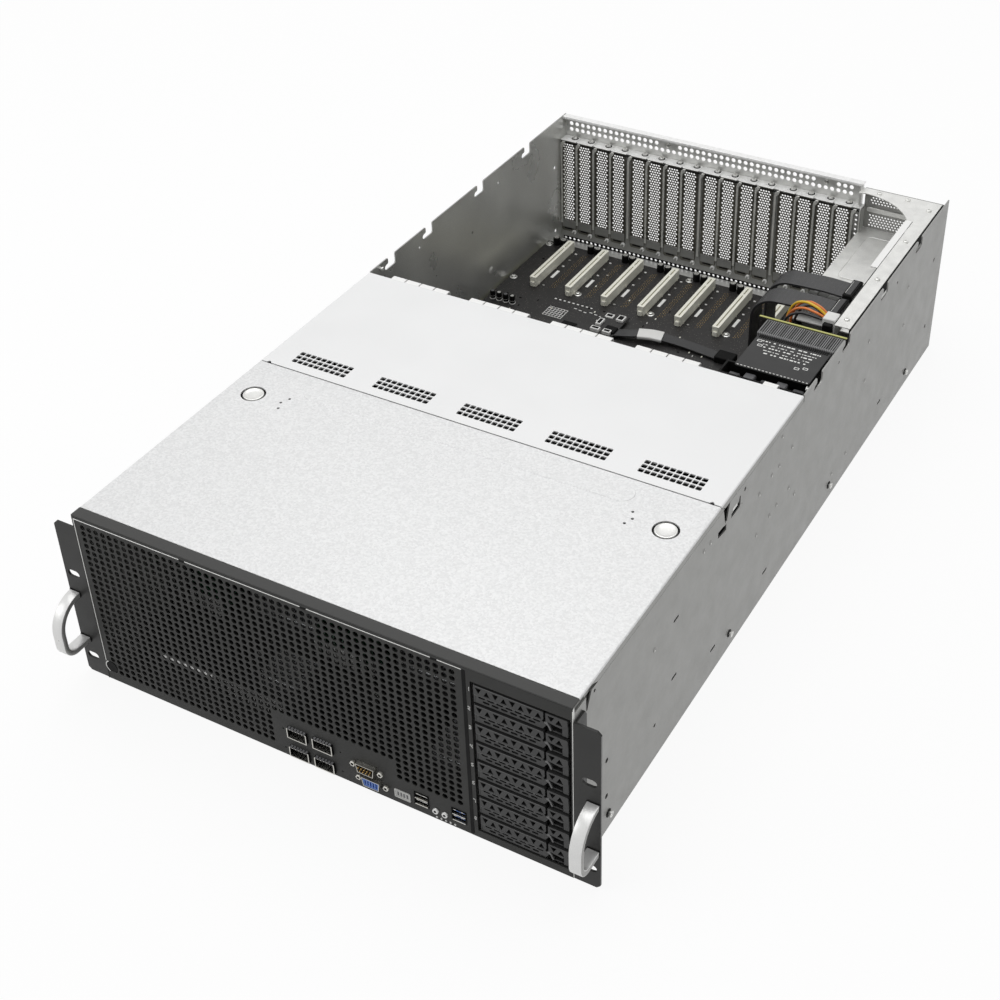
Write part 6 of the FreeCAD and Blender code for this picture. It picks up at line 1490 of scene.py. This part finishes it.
for bank, left in enumerate((-204, -74, 74)):
    for k in range(4 if bank != 1 else 7):
        x = left + 9 * k + 2
        memory.block(about(x, 3), (-309.5, -170.5), (8, 13), 1, 0.4)
        memory.block(about(x, 0.65), (-306.5, -173.5), (12, 43.4), 0, 0.15)
        for side in (-1, 1):
            for chip in range(9):
                v = -303 + 14.2 * chip
                memory.block((x + side * 0.6, x + side * 1.5), run(v, 10.5), (24, 38), 1, 0.2)
        for v in (-308, -176):
            memory.block(about(x, 2.2), run(v, 4), (13, 30), 2, 0.6)
memory.build("memory_sticks", BODY, [GREEN, DARK, WHITE], ["memory_modules"], "board_black")
coolers = Piece()
for centre in (-118, 30):
    coolers.block(about(centre, 39), (-285, -195), (8.1, 16), 0, 0.6)
    for k in range(31):
        u = centre - 38.8 + 2.58 * k
        coolers.block(run(u, 0.5), (-284.5, -195.5), (15.8, 71.8), 0)
    coolers.block(about(centre, 38.9), (-284.5, -195.5), (71.4, 71.9), 0, 0.1)
    for v in (-268, -252, -228, -212):
        coolers.lathe([(0, -39.6), (3, -39.2), (3, 39.2), (0, 39.6)], at(centre, v, 30, "x"), 16, 1)
    for a in (-1, 1):
        for b in (-1, 1):
            screw(coolers, centre + a * 36, -240 + b * 42, 16, radius=2.6, rise=2, kind=2)
coolers.build("cooler_fins", BODY, [FINS, COPPER, STEEL], ["processor_coolers"], "fin_alloy")

# Drive cage and backplane
cage = Piece()
vent = [rect(u, u + 13, v, v + 22, 3) for u in (146, 166, 186) for v in (-382, -352, -322)]
cage.sheet(rect(137, 217.3, FRONT + METAL + 0.1, -280.5), vent, on_z(163.2), METAL)
for level, way, front in ((137, 1, FRONT + METAL + 0.1), (217.3, -1, -390)):
    side_holes = [rect(v, v + 16, 6 + TRAY_PITCH * k, 16 + TRAY_PITCH * k, 2) for v in (-370, -345, -320)
                  for k in range(TRAYS)]
    cage.sheet(rect(front, -280.5, METAL, 162), side_holes, on_x(level, way), METAL)
for index in range(TRAYS):
    z = tray_foot(index)
    cage.block((138.1, 141.3), (-388, -286), run(z, 1), 0, 0.2)
    cage.block((213.3, 216.2), (-388, -286), run(z, 1), 0, 0.2)
cage.build("drive_cage_sheet", BODY, [ZINC], ["drive_cage"], "zinc_steel")
plane = Piece()
holes = [rect(u, u + 12, 148 - TRAY_PITCH * k, 153 - TRAY_PITCH * k, 1) for u in (142, 200)
         for k in range(TRAYS)]
plane.sheet(rect(138.3, 216, METAL, 162), holes, on_y(-282), 1.6, 0, wall=1)
for index in range(TRAYS):
    z = tray_foot(index)
    plane.block((160, 196), (-290.4, -281.9), (z + 4, z + 10), 2, 0.4)
plane.build("backplane_plate", BODY, [BOARD, EDGE, DARK], ["drive_backplane"], "board_black")


# Floor, light and background

def background_ray(tree):
    """1 for the rays that show the background, 0 for those that light the object."""
    path = shader_node(tree, "LightPath")
    total = path.outputs["Is Camera Ray"]
    for kind in ("Is Glossy Ray", "Is Transmission Ray"):
        total = shader_node(tree, "Math", {}, {0: total, 1: path.outputs[kind]},
                            operation="MAXIMUM").outputs[0]
    return total


def stage_material():
    material = bpy.data.materials.new("floor_white")
    material.use_nodes = True
    tree = material.node_tree
    shader = tree.nodes["Principled BSDF"]
    shader.inputs["Base Color"].default_value = (0.72, 0.72, 0.72, 1)
    shader.inputs["Roughness"].default_value = 0.9
    glow = shader_node(tree, "Emission", {"Strength": 1.05})
    share = shader_node(tree, "Math", {1: 0.86}, {0: background_ray(tree)}, operation="MULTIPLY")
    mix = shader_node(tree, "MixShader", {}, {"Fac": share.outputs[0], 1: shader.outputs[0],
                                              2: glow.outputs[0]})
    link(tree, mix.outputs[0], tree.nodes["Material Output"].inputs["Surface"])
    return material


floor_mesh = bpy.data.meshes.new("floor")
FLOOR_REACH = 12
FLOOR_Z = -0.0005
floor_mesh.from_pydata([(a * FLOOR_REACH, b * FLOOR_REACH, FLOOR_Z)
                        for a, b in ((-1, -1), (1, -1), (1, 1), (-1, 1))], [], [(0, 1, 2, 3)])
floor_mesh.materials.append(stage_material())
floor = bpy.data.objects.new("floor", floor_mesh)
bpy.context.scene.collection.objects.link(floor)

world = bpy.data.worlds.new("studio")
bpy.context.scene.world = world
world.use_nodes = True
tree = world.node_tree
sky = tree.nodes["Background"]
strength = shader_node(tree, "MapRange", {"To Min": 0.40, "To Max": 1.0}, {"Value": background_ray(tree)})
sky.inputs["Color"].default_value = (1, 1, 1, 1)
link(tree, strength.outputs["Result"], sky.inputs["Strength"])


def lamp(name, place, target, size, power):
    data = bpy.data.lights.new(name, "AREA")
    data.shape = "RECTANGLE"
    data.size, data.size_y = size
    data.energy = power
    item = bpy.data.objects.new(name, data)
    item.location = place
    item.rotation_euler = (Vector(target) - Vector(place)).to_track_quat("-Z", "Y").to_euler()
    bpy.context.scene.collection.objects.link(item)


lamp("overhead", (-0.3, 0.2, 2.6), (0, 0, 0.1), (2.6, 2.6), 36)
lamp("front_left", (-2.2, -2.0, 1.6), (0, -0.1, 0.1), (1.6, 1.6), 14)
